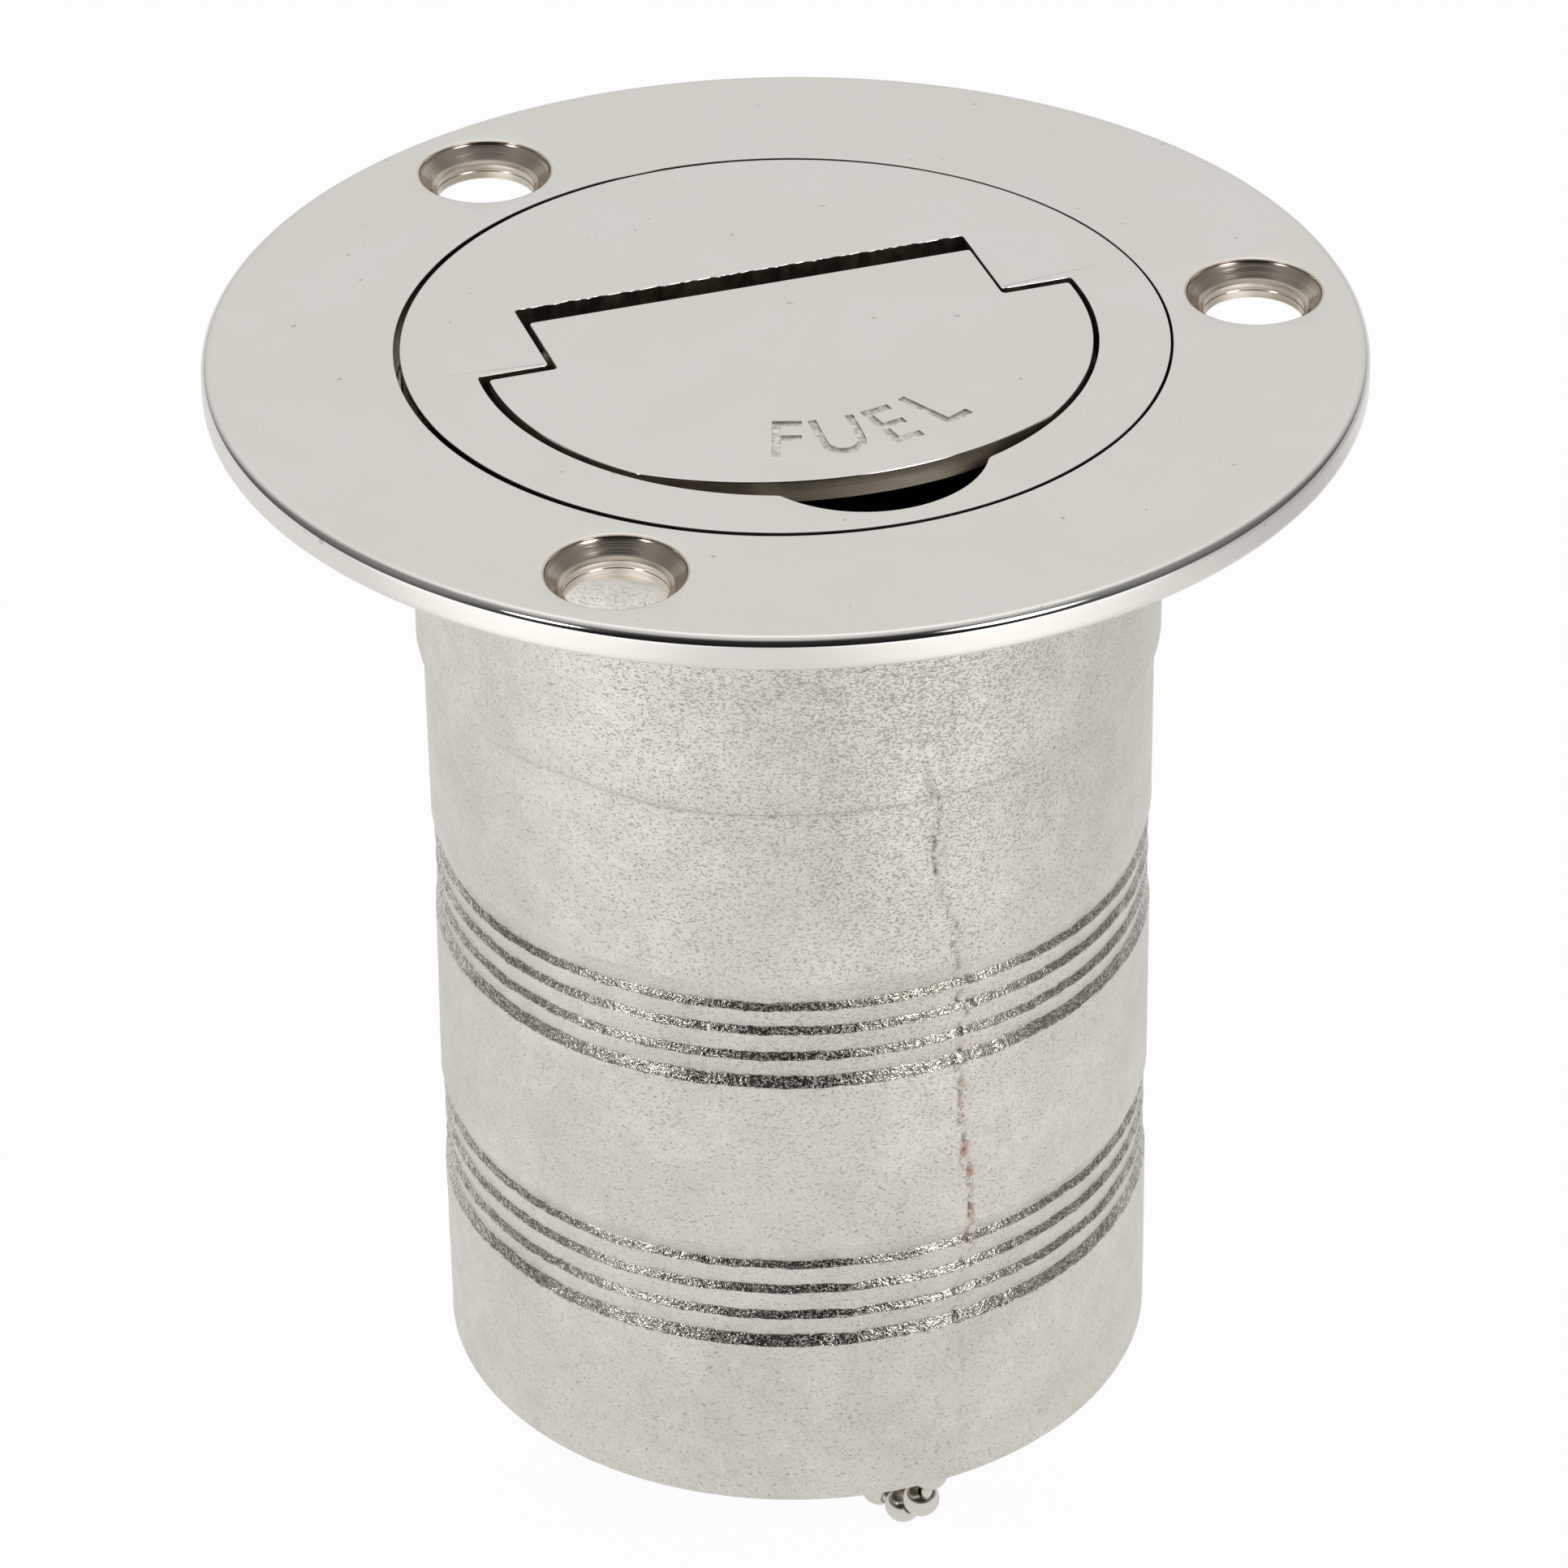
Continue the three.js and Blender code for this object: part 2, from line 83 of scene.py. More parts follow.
camera_data = bpy.data.cameras.new("studio_camera")
camera_data.lens = 167.0
camera_data.sensor_width = 36.0
camera = bpy.data.objects.new("studio_camera", camera_data)
bpy.context.scene.collection.objects.link(camera)
look = (CAMERA_AIM - CAMERA_PLACE).to_track_quat("-Z", "Y")
look = look @ Quaternion((0, 0, 1), math.radians(CAMERA_TURN_DEG))
camera.matrix_world = Matrix.Translation(CAMERA_PLACE) @ look.to_matrix().to_4x4()
bpy.context.scene.camera = camera
print("camera", [round(x, 3) for x in camera.location])

# %% [markdown]
# ## Light
# Polished steel has hardly any colour of its own: it shows the room. A mirror-like cap needs a plain grey
# wall behind it, two large soft boxes at the front corners, and a dark gap between them where the camera
# stands. The room is written as a sky: a soft gradient, plus round patches that fade out at their edges.

# %% Small helpers for node trees
def feed(tree, node, inputs):
    """Fills a node's inputs; each socket's name or number maps to a value or to another node's output."""
    for socket, value in inputs.items():
        if isinstance(value, bpy.types.NodeSocket):
            tree.links.new(value, node.inputs[socket])
        else:
            node.inputs[socket].default_value = value


def add_node(tree, kind, inputs=None, **settings):
    """Adds a node with its settings, and fills its inputs."""
    made = tree.nodes.new(kind)
    for name, value in settings.items():
        setattr(made, name, value)
    feed(tree, made, inputs or {})
    return made


def combine(tree, operation, first, second):
    """The result of a math node on two values."""
    return add_node(tree, "ShaderNodeMath", {0: first, 1: second}, operation=operation).outputs[0]


def direction(azimuth_deg, elevation_deg):
    """A unit vector: cosine of the elevation along the azimuth, sine of it upwards."""
    azimuth, elevation = math.radians(azimuth_deg), math.radians(elevation_deg)
    flat = math.cos(elevation)
    return (flat * math.cos(azimuth), flat * math.sin(azimuth), math.sin(elevation))


# %% The room as a sky
# azimuth, elevation, full inside this angle, gone outside this angle, brightness
SOFT_PATCHES = [
    (-140, 33, 2, 7.5, 12.0),   # small lamp on the left
    (-44, 35, 4, 14, 5.5),      # larger lamp on the right
    (90, 30, 26, 62, 0.54),     # grey wall behind
    (90, 84, 12, 40, 0.34),     # lamp overhead
]
ROOM_LOW, ROOM_HIGH = 0.08, 0.30
CAMERA_SIDE = (-90, 12, 34, 72, 0.10)    # the dark gap where the camera stands; a tenth of the light is left

world = bpy.data.worlds.new("studio_room")
bpy.context.scene.world = world
world.use_nodes = True
room = world.node_tree
room.nodes.clear()
toward = add_node(room, "ShaderNodeTexCoord").outputs["Generated"]
height = add_node(room, "ShaderNodeSeparateXYZ", {0: toward}).outputs["Z"]
glow = add_node(room, "ShaderNodeMapRange", {
    "Value": height, "From Min": 0.0, "From Max": 0.9, "To Min": ROOM_LOW, "To Max": ROOM_HIGH,
}).outputs["Result"]


def round_patch(azimuth, elevation, inner, outer, outside, inside):
    """From outside to inside, as a direction comes within the outer, then the inner angle of the middle."""
    facing = add_node(room, "ShaderNodeVectorMath", {0: toward, 1: direction(azimuth, elevation)},
                      operation="DOT_PRODUCT").outputs["Value"]
    return add_node(room, "ShaderNodeMapRange", {
        "Value": facing, "From Min": math.cos(math.radians(outer)),
        "From Max": math.cos(math.radians(inner)), "To Min": outside, "To Max": inside,
    }, interpolation_type="SMOOTHSTEP").outputs["Result"]


*gap, left_in_gap = CAMERA_SIDE
glow = combine(room, "MULTIPLY", glow, round_patch(*gap, 1.0, left_in_gap))
for *patch, strength in SOFT_PATCHES:
    glow = combine(room, "ADD", glow, round_patch(*patch, 0.0, strength))
lit = add_node(room, "ShaderNodeBackground", {"Color": (1.0, 0.985, 0.955, 1), "Strength": glow})
plain = add_node(room, "ShaderNodeBackground", {"Color": (1, 1, 1, 1), "Strength": 1.0})
seen = add_node(room, "ShaderNodeLightPath").outputs["Is Camera Ray"]
mixed = add_node(room, "ShaderNodeMixShader", {0: seen, 1: lit.outputs[0], 2: plain.outputs[0]})
add_node(room, "ShaderNodeOutputWorld", {"Surface": mixed.outputs[0]})
bpy.context.scene.view_settings.view_transform = "Standard"
print("soft patches:", len(SOFT_PATCHES))

# %% The pale floor
FLOOR_GLOW = 0.59
# where light from the lamps pools on the floor or, below zero, where less of it falls, and how much
POOLS = ((-137, 0.50), (-52, 0.48), (18, -0.30))
POOL_EDGE = 0.72              # cosine of the angle from a pool's middle at which it has faded out
FLOOR_TONE = 0.30
WHITE_TO_CAMERA = 0.92        # how much of the floor's own shading the camera doesn't see
FLOOR_HALF = 6.0
FLOOR_Z = CAD_BOX[0][2] - 0.3 * MM

floor_material = bpy.data.materials.new("pale_floor")
floor_material.use_nodes = True
floor_tree = floor_material.node_tree
floor_shader = floor_tree.nodes["Principled BSDF"]
floor_shader.inputs["Base Color"].default_value = (FLOOR_TONE, FLOOR_TONE, FLOOR_TONE, 1)
floor_shader.inputs["Roughness"].default_value = 0.9
floor_shader.inputs["Specular IOR Level"].default_value = 0.0
floor_shader.inputs["Emission Color"].default_value = (1.0, 0.995, 0.985, 1)
where = add_node(floor_tree, "ShaderNodeTexCoord").outputs["Object"]
away = add_node(floor_tree, "ShaderNodeVectorMath", {0: where}, operation="NORMALIZE").outputs["Vector"]
pool_light = FLOOR_GLOW
for azimuth, extra in POOLS:
    facing = add_node(floor_tree, "ShaderNodeVectorMath", {0: away, 1: direction(azimuth, 0)},
                      operation="DOT_PRODUCT").outputs["Value"]
    pool = add_node(floor_tree, "ShaderNodeMapRange", {
        "Value": facing, "From Min": POOL_EDGE, "From Max": 1.0, "To Min": 0.0, "To Max": extra,
    }, interpolation_type="SMOOTHSTEP").outputs["Result"]
    pool_light = combine(floor_tree, "ADD", pool_light, pool)
floor_tree.links.new(pool_light, floor_shader.inputs["Emission Strength"])
floor_seen = add_node(floor_tree, "ShaderNodeLightPath").outputs["Is Camera Ray"]
floor_white = add_node(floor_tree, "ShaderNodeEmission", {"Color": (1, 1, 1, 1), "Strength": 1.0})
floor_mix = add_node(floor_tree, "ShaderNodeMixShader", {
    0: combine(floor_tree, "MULTIPLY", floor_seen, WHITE_TO_CAMERA),
    1: floor_shader.outputs[0], 2: floor_white.outputs[0],
})
floor_tree.links.new(floor_mix.outputs[0], floor_tree.nodes["Material Output"].inputs["Surface"])
floor_mesh = bpy.data.meshes.new("pale_floor")
floor_corners = [(x * FLOOR_HALF, y * FLOOR_HALF, FLOOR_Z) for x, y in ((-1, -1), (1, -1), (1, 1), (-1, 1))]
floor_mesh.from_pydata(floor_corners, [], [(0, 1, 2, 3)])
floor_mesh.materials.append(floor_material)
floor = bpy.data.objects.new("pale_floor", floor_mesh)
bpy.context.scene.collection.objects.link(floor)
print("floor at", round(FLOOR_Z, 5))

# %% [markdown]
# ## Effects that several steels share
# Each effect is a node group. `cast_grain` is the skin that a ceramic mould leaves on steel: fine grains,
# dark pits, and a slow change of tone. `tool_lines` are the thin lines that a belt or a cutting tool
# leaves. `handling` is the faint film and the few specks that a polished part picks up on the bench.

# %% Node groups
def new_group(name, inputs, outputs):
    """A shader node group with float or vector sockets; returns its tree, its inputs and its outputs."""
    tree = bpy.data.node_groups.new(name, "ShaderNodeTree")
    for label, kind, default in inputs:
        socket = tree.interface.new_socket(label, in_out="INPUT", socket_type=kind)
        if default is not None:
            socket.default_value = default
    for label in outputs:
        tree.interface.new_socket(label, in_out="OUTPUT", socket_type="NodeSocketFloat")
    return tree, tree.nodes.new("NodeGroupInput").outputs, tree.nodes.new("NodeGroupOutput").inputs


def noise(tree, vector, scale, detail=2.0, roughness=0.5, distortion=0.0):
    """The value of a noise texture at that scale, in features per metre."""
    made = add_node(tree, "ShaderNodeTexNoise", {
        "Vector": vector, "Scale": scale, "Detail": detail, "Roughness": roughness, "Distortion": distortion,
    })
    return made.outputs["Fac"]


def remap(tree, value, low, high, to_low=0.0, to_high=1.0, smooth=True):
    """Stretches low..high to to_low..to_high, and holds the ends."""
    kind = "SMOOTHSTEP" if smooth else "LINEAR"
    made = add_node(tree, "ShaderNodeMapRange", {
        "Value": value, "From Min": low, "From Max": high, "To Min": to_low, "To Max": to_high,
    }, interpolation_type=kind)
    return made.outputs["Result"]


def stretched(tree, vector, scale, turn=(0, 0, 0)):
    """The coordinates, turned and scaled by a different factor each way, which stretches a pattern."""
    made = add_node(tree, "ShaderNodeMapping", {"Vector": vector, "Rotation": turn, "Scale": scale})
    return made.outputs["Vector"]


VECTOR, FLOAT = "NodeSocketVector", "NodeSocketFloat"

# cast_grain: Pitting is the share of the skin that is pitted
cast_grain, given, result = new_group(
    "cast_grain", [("Vector", VECTOR, None), ("Pitting", FLOAT, 0.5)], ["Height", "Pits", "Grain", "Mottle"])
fine = noise(cast_grain, given["Vector"], 3300, detail=3, roughness=0.7)
coarse = noise(cast_grain, given["Vector"], 700, detail=2)
slanted = stretched(cast_grain, given["Vector"], (1.0, 1.0, 1.8), turn=(0.25, 0.35, 0.0))


def pitted(scale, least, most):
    """Holes where a slanted noise falls under a depth that grows with the pitting."""
    holes = noise(cast_grain, slanted, scale, detail=3, roughness=0.6, distortion=0.5)
    depth = remap(cast_grain, given["Pitting"], 0, 1, least, most, smooth=False)
    under = combine(cast_grain, "SUBTRACT", depth, holes)
    return remap(cast_grain, under, 0.0, 0.13)


pits = combine(cast_grain, "MAXIMUM", combine(cast_grain, "MULTIPLY", pitted(4200, 0.38, 0.50), 0.6),
               pitted(1250, 0.24, 0.38))
skin = combine(cast_grain, "ADD", combine(cast_grain, "MULTIPLY", fine, 0.75), coarse)
cast_grain.links.new(combine(cast_grain, "SUBTRACT", skin, combine(cast_grain, "MULTIPLY", pits, 0.8)),
                     result["Height"])
cast_grain.links.new(pits, result["Pits"])
cast_grain.links.new(remap(cast_grain, fine, 0.3, 0.7), result["Grain"])
cast_grain.links.new(noise(cast_grain, given["Vector"], 110, detail=3, roughness=0.6), result["Mottle"])

# tool_lines: Across is the scale of the lines' spacing on each axis
tool_lines, given, result = new_group(
    "tool_lines", [("Vector", VECTOR, None), ("Across", VECTOR, (60, 60, 5000))], ["Height", "Lines"])
scaled = add_node(tool_lines, "ShaderNodeVectorMath", {0: given["Vector"], 1: given["Across"]},
                  operation="MULTIPLY").outputs["Vector"]
lines = noise(tool_lines, scaled, 1.0, detail=3, roughness=0.7)
tool_lines.links.new(lines, result["Height"])
tool_lines.links.new(remap(tool_lines, lines, 0.32, 0.68), result["Lines"])

# handling: a faint film, and a few specks
handling, given, result = new_group(
    "handling", [("Vector", VECTOR, None)], ["Film", "Specks", "Scratches"])
film = noise(handling, given["Vector"], 90, detail=4, roughness=0.62, distortion=0.4)
handling.links.new(remap(handling, film, 0.35, 0.7), result["Film"])
dots = noise(handling, given["Vector"], 900, detail=1)
handling.links.new(remap(handling, dots, 0.775, 0.80), result["Specks"])
slashed = stretched(handling, given["Vector"], (2600, 60, 60), turn=(0, 0, 0.75))
marks = noise(handling, slashed, 1.0, detail=2)
patchy = remap(handling, noise(handling, given["Vector"], 55, detail=1), 0.52, 0.66)
handling.links.new(combine(handling, "MULTIPLY", remap(handling, marks, 0.60, 0.72), patchy),
                   result["Scratches"])
print("groups:", [g.name for g in bpy.data.node_groups])

# %% [markdown]
# ## The finishes
# The fill is all one steel, finished five ways. The flange, cap and handle are polished until they mirror
# the room. The neck and tail keep their cast skin. The handle's side is belt-brushed, the screw holes are
# turned, and the recess under the handle is left rough from the cutter and painted dark as shade.

# %% Materials
def new_material(name, colour, roughness, metallic=1.0):
    """A Principled material; returns it with its node tree, its shader and the object coordinates."""
    material = bpy.data.materials.new(name)
    material.use_nodes = True
    tree = material.node_tree
    shader = tree.nodes["Principled BSDF"]
    shader.inputs["Base Color"].default_value = (*colour, 1)
    shader.inputs["Roughness"].default_value = roughness
    shader.inputs["Metallic"].default_value = metallic
    return material, tree, shader, add_node(tree, "ShaderNodeTexCoord").outputs["Object"]


def use_group(tree, group, inputs):
    """Puts a node group in the tree and fills its inputs; returns its outputs."""
    made = tree.nodes.new("ShaderNodeGroup")
    made.node_tree = group
    feed(tree, made, inputs)
    return made.outputs


def mix_colour(tree, share, first, second):
    """Between two colours by share, 0 giving the first."""
    first, second = (c if isinstance(c, bpy.types.NodeSocket) else (*c, 1) for c in (first, second))
    return add_node(tree, "ShaderNodeMix", {0: share, 6: first, 7: second}, data_type="RGBA").outputs[2]


def bump(tree, shader, height, distance_mm):
    """Lets a height field, 0 to 1 over the distance, tilt the surface."""
    made = add_node(tree, "ShaderNodeBump", {"Height": height, "Distance": distance_mm * MM, "Strength": 1.0})
    tree.links.new(made.outputs["Normal"], shader.inputs["Normal"])


def scaled_colour(colour, scale):
    """The colour times one factor, or times one factor for each of red, green and blue; never over 1."""
    return tuple(np.minimum(1.0, np.array(colour) * scale).tolist())


def polished_steel(name, colour, roughness):
    """Mirror polish: the film makes it a little less sharp in places, and the scratches catch the light."""
    material, tree, shader, place = new_material(name, colour, roughness)
    worn = use_group(tree, handling, {"Vector": place})
    dull = combine(tree, "MULTIPLY", worn["Film"], 0.05)
    dull = combine(tree, "ADD", dull, combine(tree, "MULTIPLY", worn["Scratches"], 0.10))
    tree.links.new(combine(tree, "ADD", dull, roughness), shader.inputs["Roughness"])
    tinted = mix_colour(tree, combine(tree, "MULTIPLY", worn["Film"], 0.35), colour,
                        scaled_colour(colour, (0.95, 0.945, 0.93)))
    tinted = mix_colour(tree, combine(tree, "MULTIPLY", worn["Specks"], 0.45), tinted, (0.30, 0.27, 0.24))
    tree.links.new(tinted, shader.inputs["Base Color"])
    bump(tree, shader, combine(tree, "MULTIPLY", worn["Scratches"], -1.0), 0.0012)
    return material


def cast_steel(name, colour):
    """Cast skin: grain, pits and a slow mottle, with a dark line and rust along the mould's seam, painted
    shade in a line under the step, and painted shade in patches on the barbs' lips. The mesh's attributes say
    where it is pitted, and where the seam, the rust, the step and the barbs' lips are."""
    material, tree, shader, place = new_material(name, colour, 0.42)
    lip, pitting, seam, rust, step = (
        add_node(tree, "ShaderNodeAttribute", attribute_name=painted).outputs["Fac"]
        for painted in ("lip", "pitting", "seam", "rust", "step"))
    grain = use_group(tree, cast_grain, {"Vector": place, "Pitting": pitting})
    tone = mix_colour(tree, remap(tree, grain["Mottle"], 0.3, 0.7), scaled_colour(colour, 0.93),
                      scaled_colour(colour, (1.05, 1.05, 1.06)))
    cloudy = remap(tree, noise(tree, place, 330, detail=3, roughness=0.6), 0.35, 0.65, 0.10, 0.0)
    speckle = combine(tree, "ADD", combine(tree, "MULTIPLY", grain["Pits"], 0.62),
                      remap(tree, grain["Grain"], 0.0, 1.0, 0.15, 0.0, smooth=False))
    speckle = combine(tree, "ADD", speckle, cloudy)
    tone = mix_colour(tree, speckle, tone, scaled_colour(colour, (0.42, 0.39, 0.36)))
    # painted shade: the barbs' upward-facing lips, in the creases between the barbs, are darkened in patches
    # to a brown grey
    lip_shade = remap(tree, noise(tree, place, 2600, detail=3), 0.40, 0.58, 0.50, 0.0)
    lip_shade_colour = scaled_colour(colour, (0.36, 0.31, 0.26))
    tone = mix_colour(tree, combine(tree, "MULTIPLY", lip, lip_shade), tone, lip_shade_colour)
    broken = remap(tree, noise(tree, place, 1900, detail=2), 0.42, 0.6)
    # the seam's share of this dark line is its crack; the step's share is painted shade under the step's
    # ledge
    line = combine(tree, "MAXIMUM", combine(tree, "MULTIPLY", seam, broken), step)
    tone = mix_colour(tree, combine(tree, "MULTIPLY", line, 0.88), tone, (0.16, 0.14, 0.13))
    spotted = combine(tree, "MULTIPLY", rust, remap(tree, noise(tree, place, 1300, detail=2), 0.46, 0.62))
    tone = mix_colour(tree, combine(tree, "MULTIPLY", spotted, 0.7), tone, (0.55, 0.20, 0.12))
    tree.links.new(tone, shader.inputs["Base Color"])
    rough = remap(tree, grain["Mottle"], 0.25, 0.75, 0.29, 0.40, smooth=False)
    rough = combine(tree, "ADD", rough, combine(tree, "MULTIPLY", grain["Pits"], 0.15))
    tree.links.new(combine(tree, "SUBTRACT", rough, combine(tree, "MULTIPLY", lip, 0.17)),
                   shader.inputs["Roughness"])
    sandy = combine(tree, "MULTIPLY", noise(tree, place, 4600, detail=2), combine(tree, "MULTIPLY", lip, 0.9))
    bump(tree, shader, combine(tree, "ADD", grain["Height"], sandy), 0.06)
    return material


def lined_steel(name, colour, roughness, across, distance_mm, contrast=0.25):
    """Brushed or turned steel: thin lines in one direction change both the tone and the surface."""
    material, tree, shader, place = new_material(name, colour, roughness)
    lined = use_group(tree, tool_lines, {"Vector": place, "Across": across})
    tone = mix_colour(tree, combine(tree, "MULTIPLY", lined["Lines"], contrast), colour,
                      scaled_colour(colour, 0.45))
    tree.links.new(tone, shader.inputs["Base Color"])
    tree.links.new(remap(tree, lined["Lines"], 0, 1, roughness, roughness + 0.12), shader.inputs["Roughness"])
    bump(tree, shader, lined["Height"], distance_mm)
    return material


def rough_cut_steel_in_painted_shade(name, colour):
    """Steel left as the cutter left it, in painted shade: a dark brown, darker still in patches."""
    material, tree, shader, place = new_material(name, colour, 0.5)
    worn = noise(tree, stretched(tree, place, (1, 1, 0.45)), 900, detail=4, roughness=0.65)
    # painted shade: the recess's steel is a dark brown, darker still where the noise is low
    tone = mix_colour(tree, remap(tree, worn, 0.35, 0.7), scaled_colour(colour, 0.35), colour)
    tree.links.new(tone, shader.inputs["Base Color"])
    bump(tree, shader, worn, 0.08)
    return material


def sealing_rubber(name):
    """Black rubber with a little pale dust on it."""
    material, tree, shader, place = new_material(name, (0.018, 0.018, 0.019), 0.55, metallic=0.0)
    dusty = noise(tree, place, 400, detail=3)
    tone = mix_colour(tree, remap(tree, dusty, 0.4, 0.75), (0.016, 0.016, 0.017), (0.05, 0.048, 0.045))
    tree.links.new(tone, shader.inputs["Base Color"])
    bump(tree, shader, noise(tree, place, 2500), 0.01)
    return material


POLISHED = polished_steel("polished_steel", (0.865, 0.85, 0.825), 0.055)
RIM_POLISHED = polished_steel("rim_polished_steel", (0.90, 0.865, 0.83), 0.10)
CAST = cast_steel("cast_steel_skin", (0.90, 0.875, 0.815))
BRUSHED = lined_steel("brushed_steel", (0.80, 0.71, 0.58), 0.34, (260, 260, 6500), 0.014, 0.55)
TURNED = lined_steel("turned_steel", (0.76, 0.68, 0.58), 0.13, (90, 90, 4300), 0.016, 0.4)
# painted shade: the recess under the handle gets this dark brown
ROUGH_CUT_IN_SHADE = rough_cut_steel_in_painted_shade("rough_cut_steel_in_painted_shade", (0.26, 0.215, 0.165))
ETCHED = lined_steel("etched_steel", (0.98, 0.95, 0.89), 0.42, (1900, 1900, 1900), 0.03, 0.75)
STAMPED = lined_steel("stamped_steel", (0.74, 0.72, 0.69), 0.28, (350, 2400, 350), 0.006, 0.2)
CHROMED = polished_steel("chromed_brass", (0.86, 0.83, 0.77), 0.20)
RUBBER = sealing_rubber("sealing_rubber")
print("finishes:", len(bpy.data.materials))

# %% [markdown]
# ## From rings to a mesh
# A ring is a closed line of points. Rings stacked on each other, with a quad between each pair of
# neighbours, are a solid's skin. Rings run anticlockwise seen from above, and climb on the outside of the
# solid, so that every face points out.

# %% Rings, corners and arcs
def rings(radius, height, angle):
    """Points at radius times the cosine and sine of the angle, at the height, for arrays that match."""
    radius, height, angle = np.broadcast_arrays(radius, height, angle)
    return np.stack([radius * np.cos(angle), radius * np.sin(angle), height], axis=-1)


def arc(centre, radius, start_deg, end_deg, steps):
    """Points on a circular arc: the centre plus the radius times the cosine and sine of even angles."""
    angle = np.radians(np.linspace(start_deg, end_deg, steps + 1))
    return np.column_stack([centre[0] + radius * np.cos(angle), centre[1] + radius * np.sin(angle)])


def soften(points, size, steps=3):
    """Turns each inner corner P of a line into a curve: (1-t)^2 A + 2t(1-t) P + t^2 B, where A and B lie
    on the corner's two edges, size away from it or four tenths of the edge if that is less."""
    points = np.asarray(points, float)
    corner = points[1:-1]

    def pulled(other):
        """The point on the corner's edge towards the other point."""
        edge = other - corner
        length = np.linalg.norm(edge, axis=1, keepdims=True)
        return corner + edge * np.minimum(size / length, 0.4)

    t = np.linspace(0, 1, steps + 1)[None, :, None]
    start, end = pulled(points[:-2])[:, None], pulled(points[2:])[:, None]
    curve = (1 - t) ** 2 * start + 2 * t * (1 - t) * corner[:, None] + t**2 * end
    return np.vstack([points[:1], curve.reshape(-1, 2), points[-1:]])


def between(start, end, spacing):
    """Points on a straight line, no further apart than the spacing, without its two ends."""
    start, end = np.asarray(start, float), np.asarray(end, float)
    count = max(1, int(np.ceil(np.linalg.norm(end - start) / spacing)))
    share = np.linspace(0, 1, count + 1)[1:-1, None]
    return start + (end - start) * share


# %% Arrays into a Blender mesh
def ring_faces(rows, columns, joined):
    """Quads between neighbouring rings; joined also ties the last ring to the first."""
    row = np.arange(rows if joined else rows - 1)[:, None]
    column = np.arange(columns)[None, :]
    above, beside = (row + 1) % rows, (column + 1) % columns
    corners = np.broadcast_arrays(row * columns + column, row * columns + beside,
                                  above * columns + beside, above * columns + column)
    return np.stack(corners, axis=-1).reshape(-1, 4)


def array_mesh(name, points_mm, quads):
    """A mesh from an array of points in millimetres and an array of quads."""
    mesh = bpy.data.meshes.new(name)
    mesh.vertices.add(len(points_mm))
    mesh.vertices.foreach_set("co", (points_mm * MM).astype(np.float32).ravel())
    mesh.loops.add(quads.size)
    mesh.loops.foreach_set("vertex_index", quads.astype(np.int32).ravel())
    mesh.polygons.add(len(quads))
    mesh.polygons.foreach_set("loop_start", np.arange(0, quads.size, 4, dtype=np.int32))
    mesh.update(calc_edges=True)
    return mesh


def tidy_mesh(mesh, lids=()):
    """Adds flat lids over listed rings of vertices, and merges points that meet, as on the axis."""
    work = bmesh.new()
    work.from_mesh(mesh)
    work.verts.ensure_lookup_table()
    for lid in lids:
        work.faces.new([work.verts[i] for i in lid])
    bmesh.ops.remove_doubles(work, verts=work.verts, dist=0.0004 * MM)
    work.to_mesh(mesh)
    work.free()


def piece_of_rings(name, grid, joined=False, lid_below=False, lid_above=False):
    """An object from a (rows, columns, 3) array of ring points in millimetres."""
    rows, columns = grid.shape[:2]
    mesh = array_mesh(name, grid.reshape(-1, 3), ring_faces(rows, columns, joined))
    lids = []
    if lid_below:
        lids.append(range(columns - 1, -1, -1))
    if lid_above:
        lids.append(range((rows - 1) * columns, rows * columns))
    tidy_mesh(mesh, lids)
    piece = bpy.data.objects.new(name, mesh)
    bpy.context.scene.collection.objects.link(piece)
    return piece


def turned(name, profile, columns=96, joined=False):
    """A lathe piece about Z from [radius, height] points that climb on the outside."""
    profile = np.asarray(profile, float)
    angle = np.linspace(0, 2 * np.pi, columns, endpoint=False)
    return piece_of_rings(name, rings(profile[:, :1], profile[:, 1:], angle[None]), joined)


# %% Cutting, joining and finishing
def carve(piece, others, operation="DIFFERENCE"):
    """Cuts the other objects from the piece, or joins them to it, and removes them."""
    for other in others:
        modifier = piece.modifiers.new("carve", "BOOLEAN")
        modifier.object = other
        modifier.operation = operation
        modifier.solver = "EXACT"
    evaluated = piece.evaluated_get(bpy.context.evaluated_depsgraph_get())
    made = bpy.data.meshes.new_from_object(evaluated)
    piece.modifiers.clear()
    piece.data = made
    for other in others:
        bpy.data.objects.remove(other)
    return piece


def move(piece, matrix):
    """Places a piece by moving its points, so that its object stays at the origin."""
    piece.data.transform(matrix)
    return piece


def face_middles(mesh):
    """Each face's middle, in millimetres, and its normal."""
    middle, normal = np.empty(len(mesh.polygons) * 3), np.empty(len(mesh.polygons) * 3)
    mesh.polygons.foreach_get("center", middle)
    mesh.polygons.foreach_get("normal", normal)
    return middle.reshape(-1, 3) / MM, normal.reshape(-1, 3)


def finish_piece(piece, body, nodes, materials, rule=None, sharp_deg=14):
    """Sets the piece's finishes (rule picks one for each face), its shading, its body and its CAD nodes."""
    mesh = piece.data
    mesh.materials.clear()
    for material in materials:
        mesh.materials.append(material)
    chosen = np.zeros(len(mesh.polygons), np.int32)
    if rule:
        chosen = rule(*face_middles(mesh)).astype(np.int32)
    mesh.polygons.foreach_set("material_index", chosen)
    mesh.shade_smooth()
    mesh.set_sharp_from_angle(angle=math.radians(sharp_deg))
    mesh.update()
    if body:
        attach(piece, body)
    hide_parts(*nodes)
    print(f"{piece.name}: {len(mesh.vertices)} points, {len(mesh.polygons)} faces")
    return piece


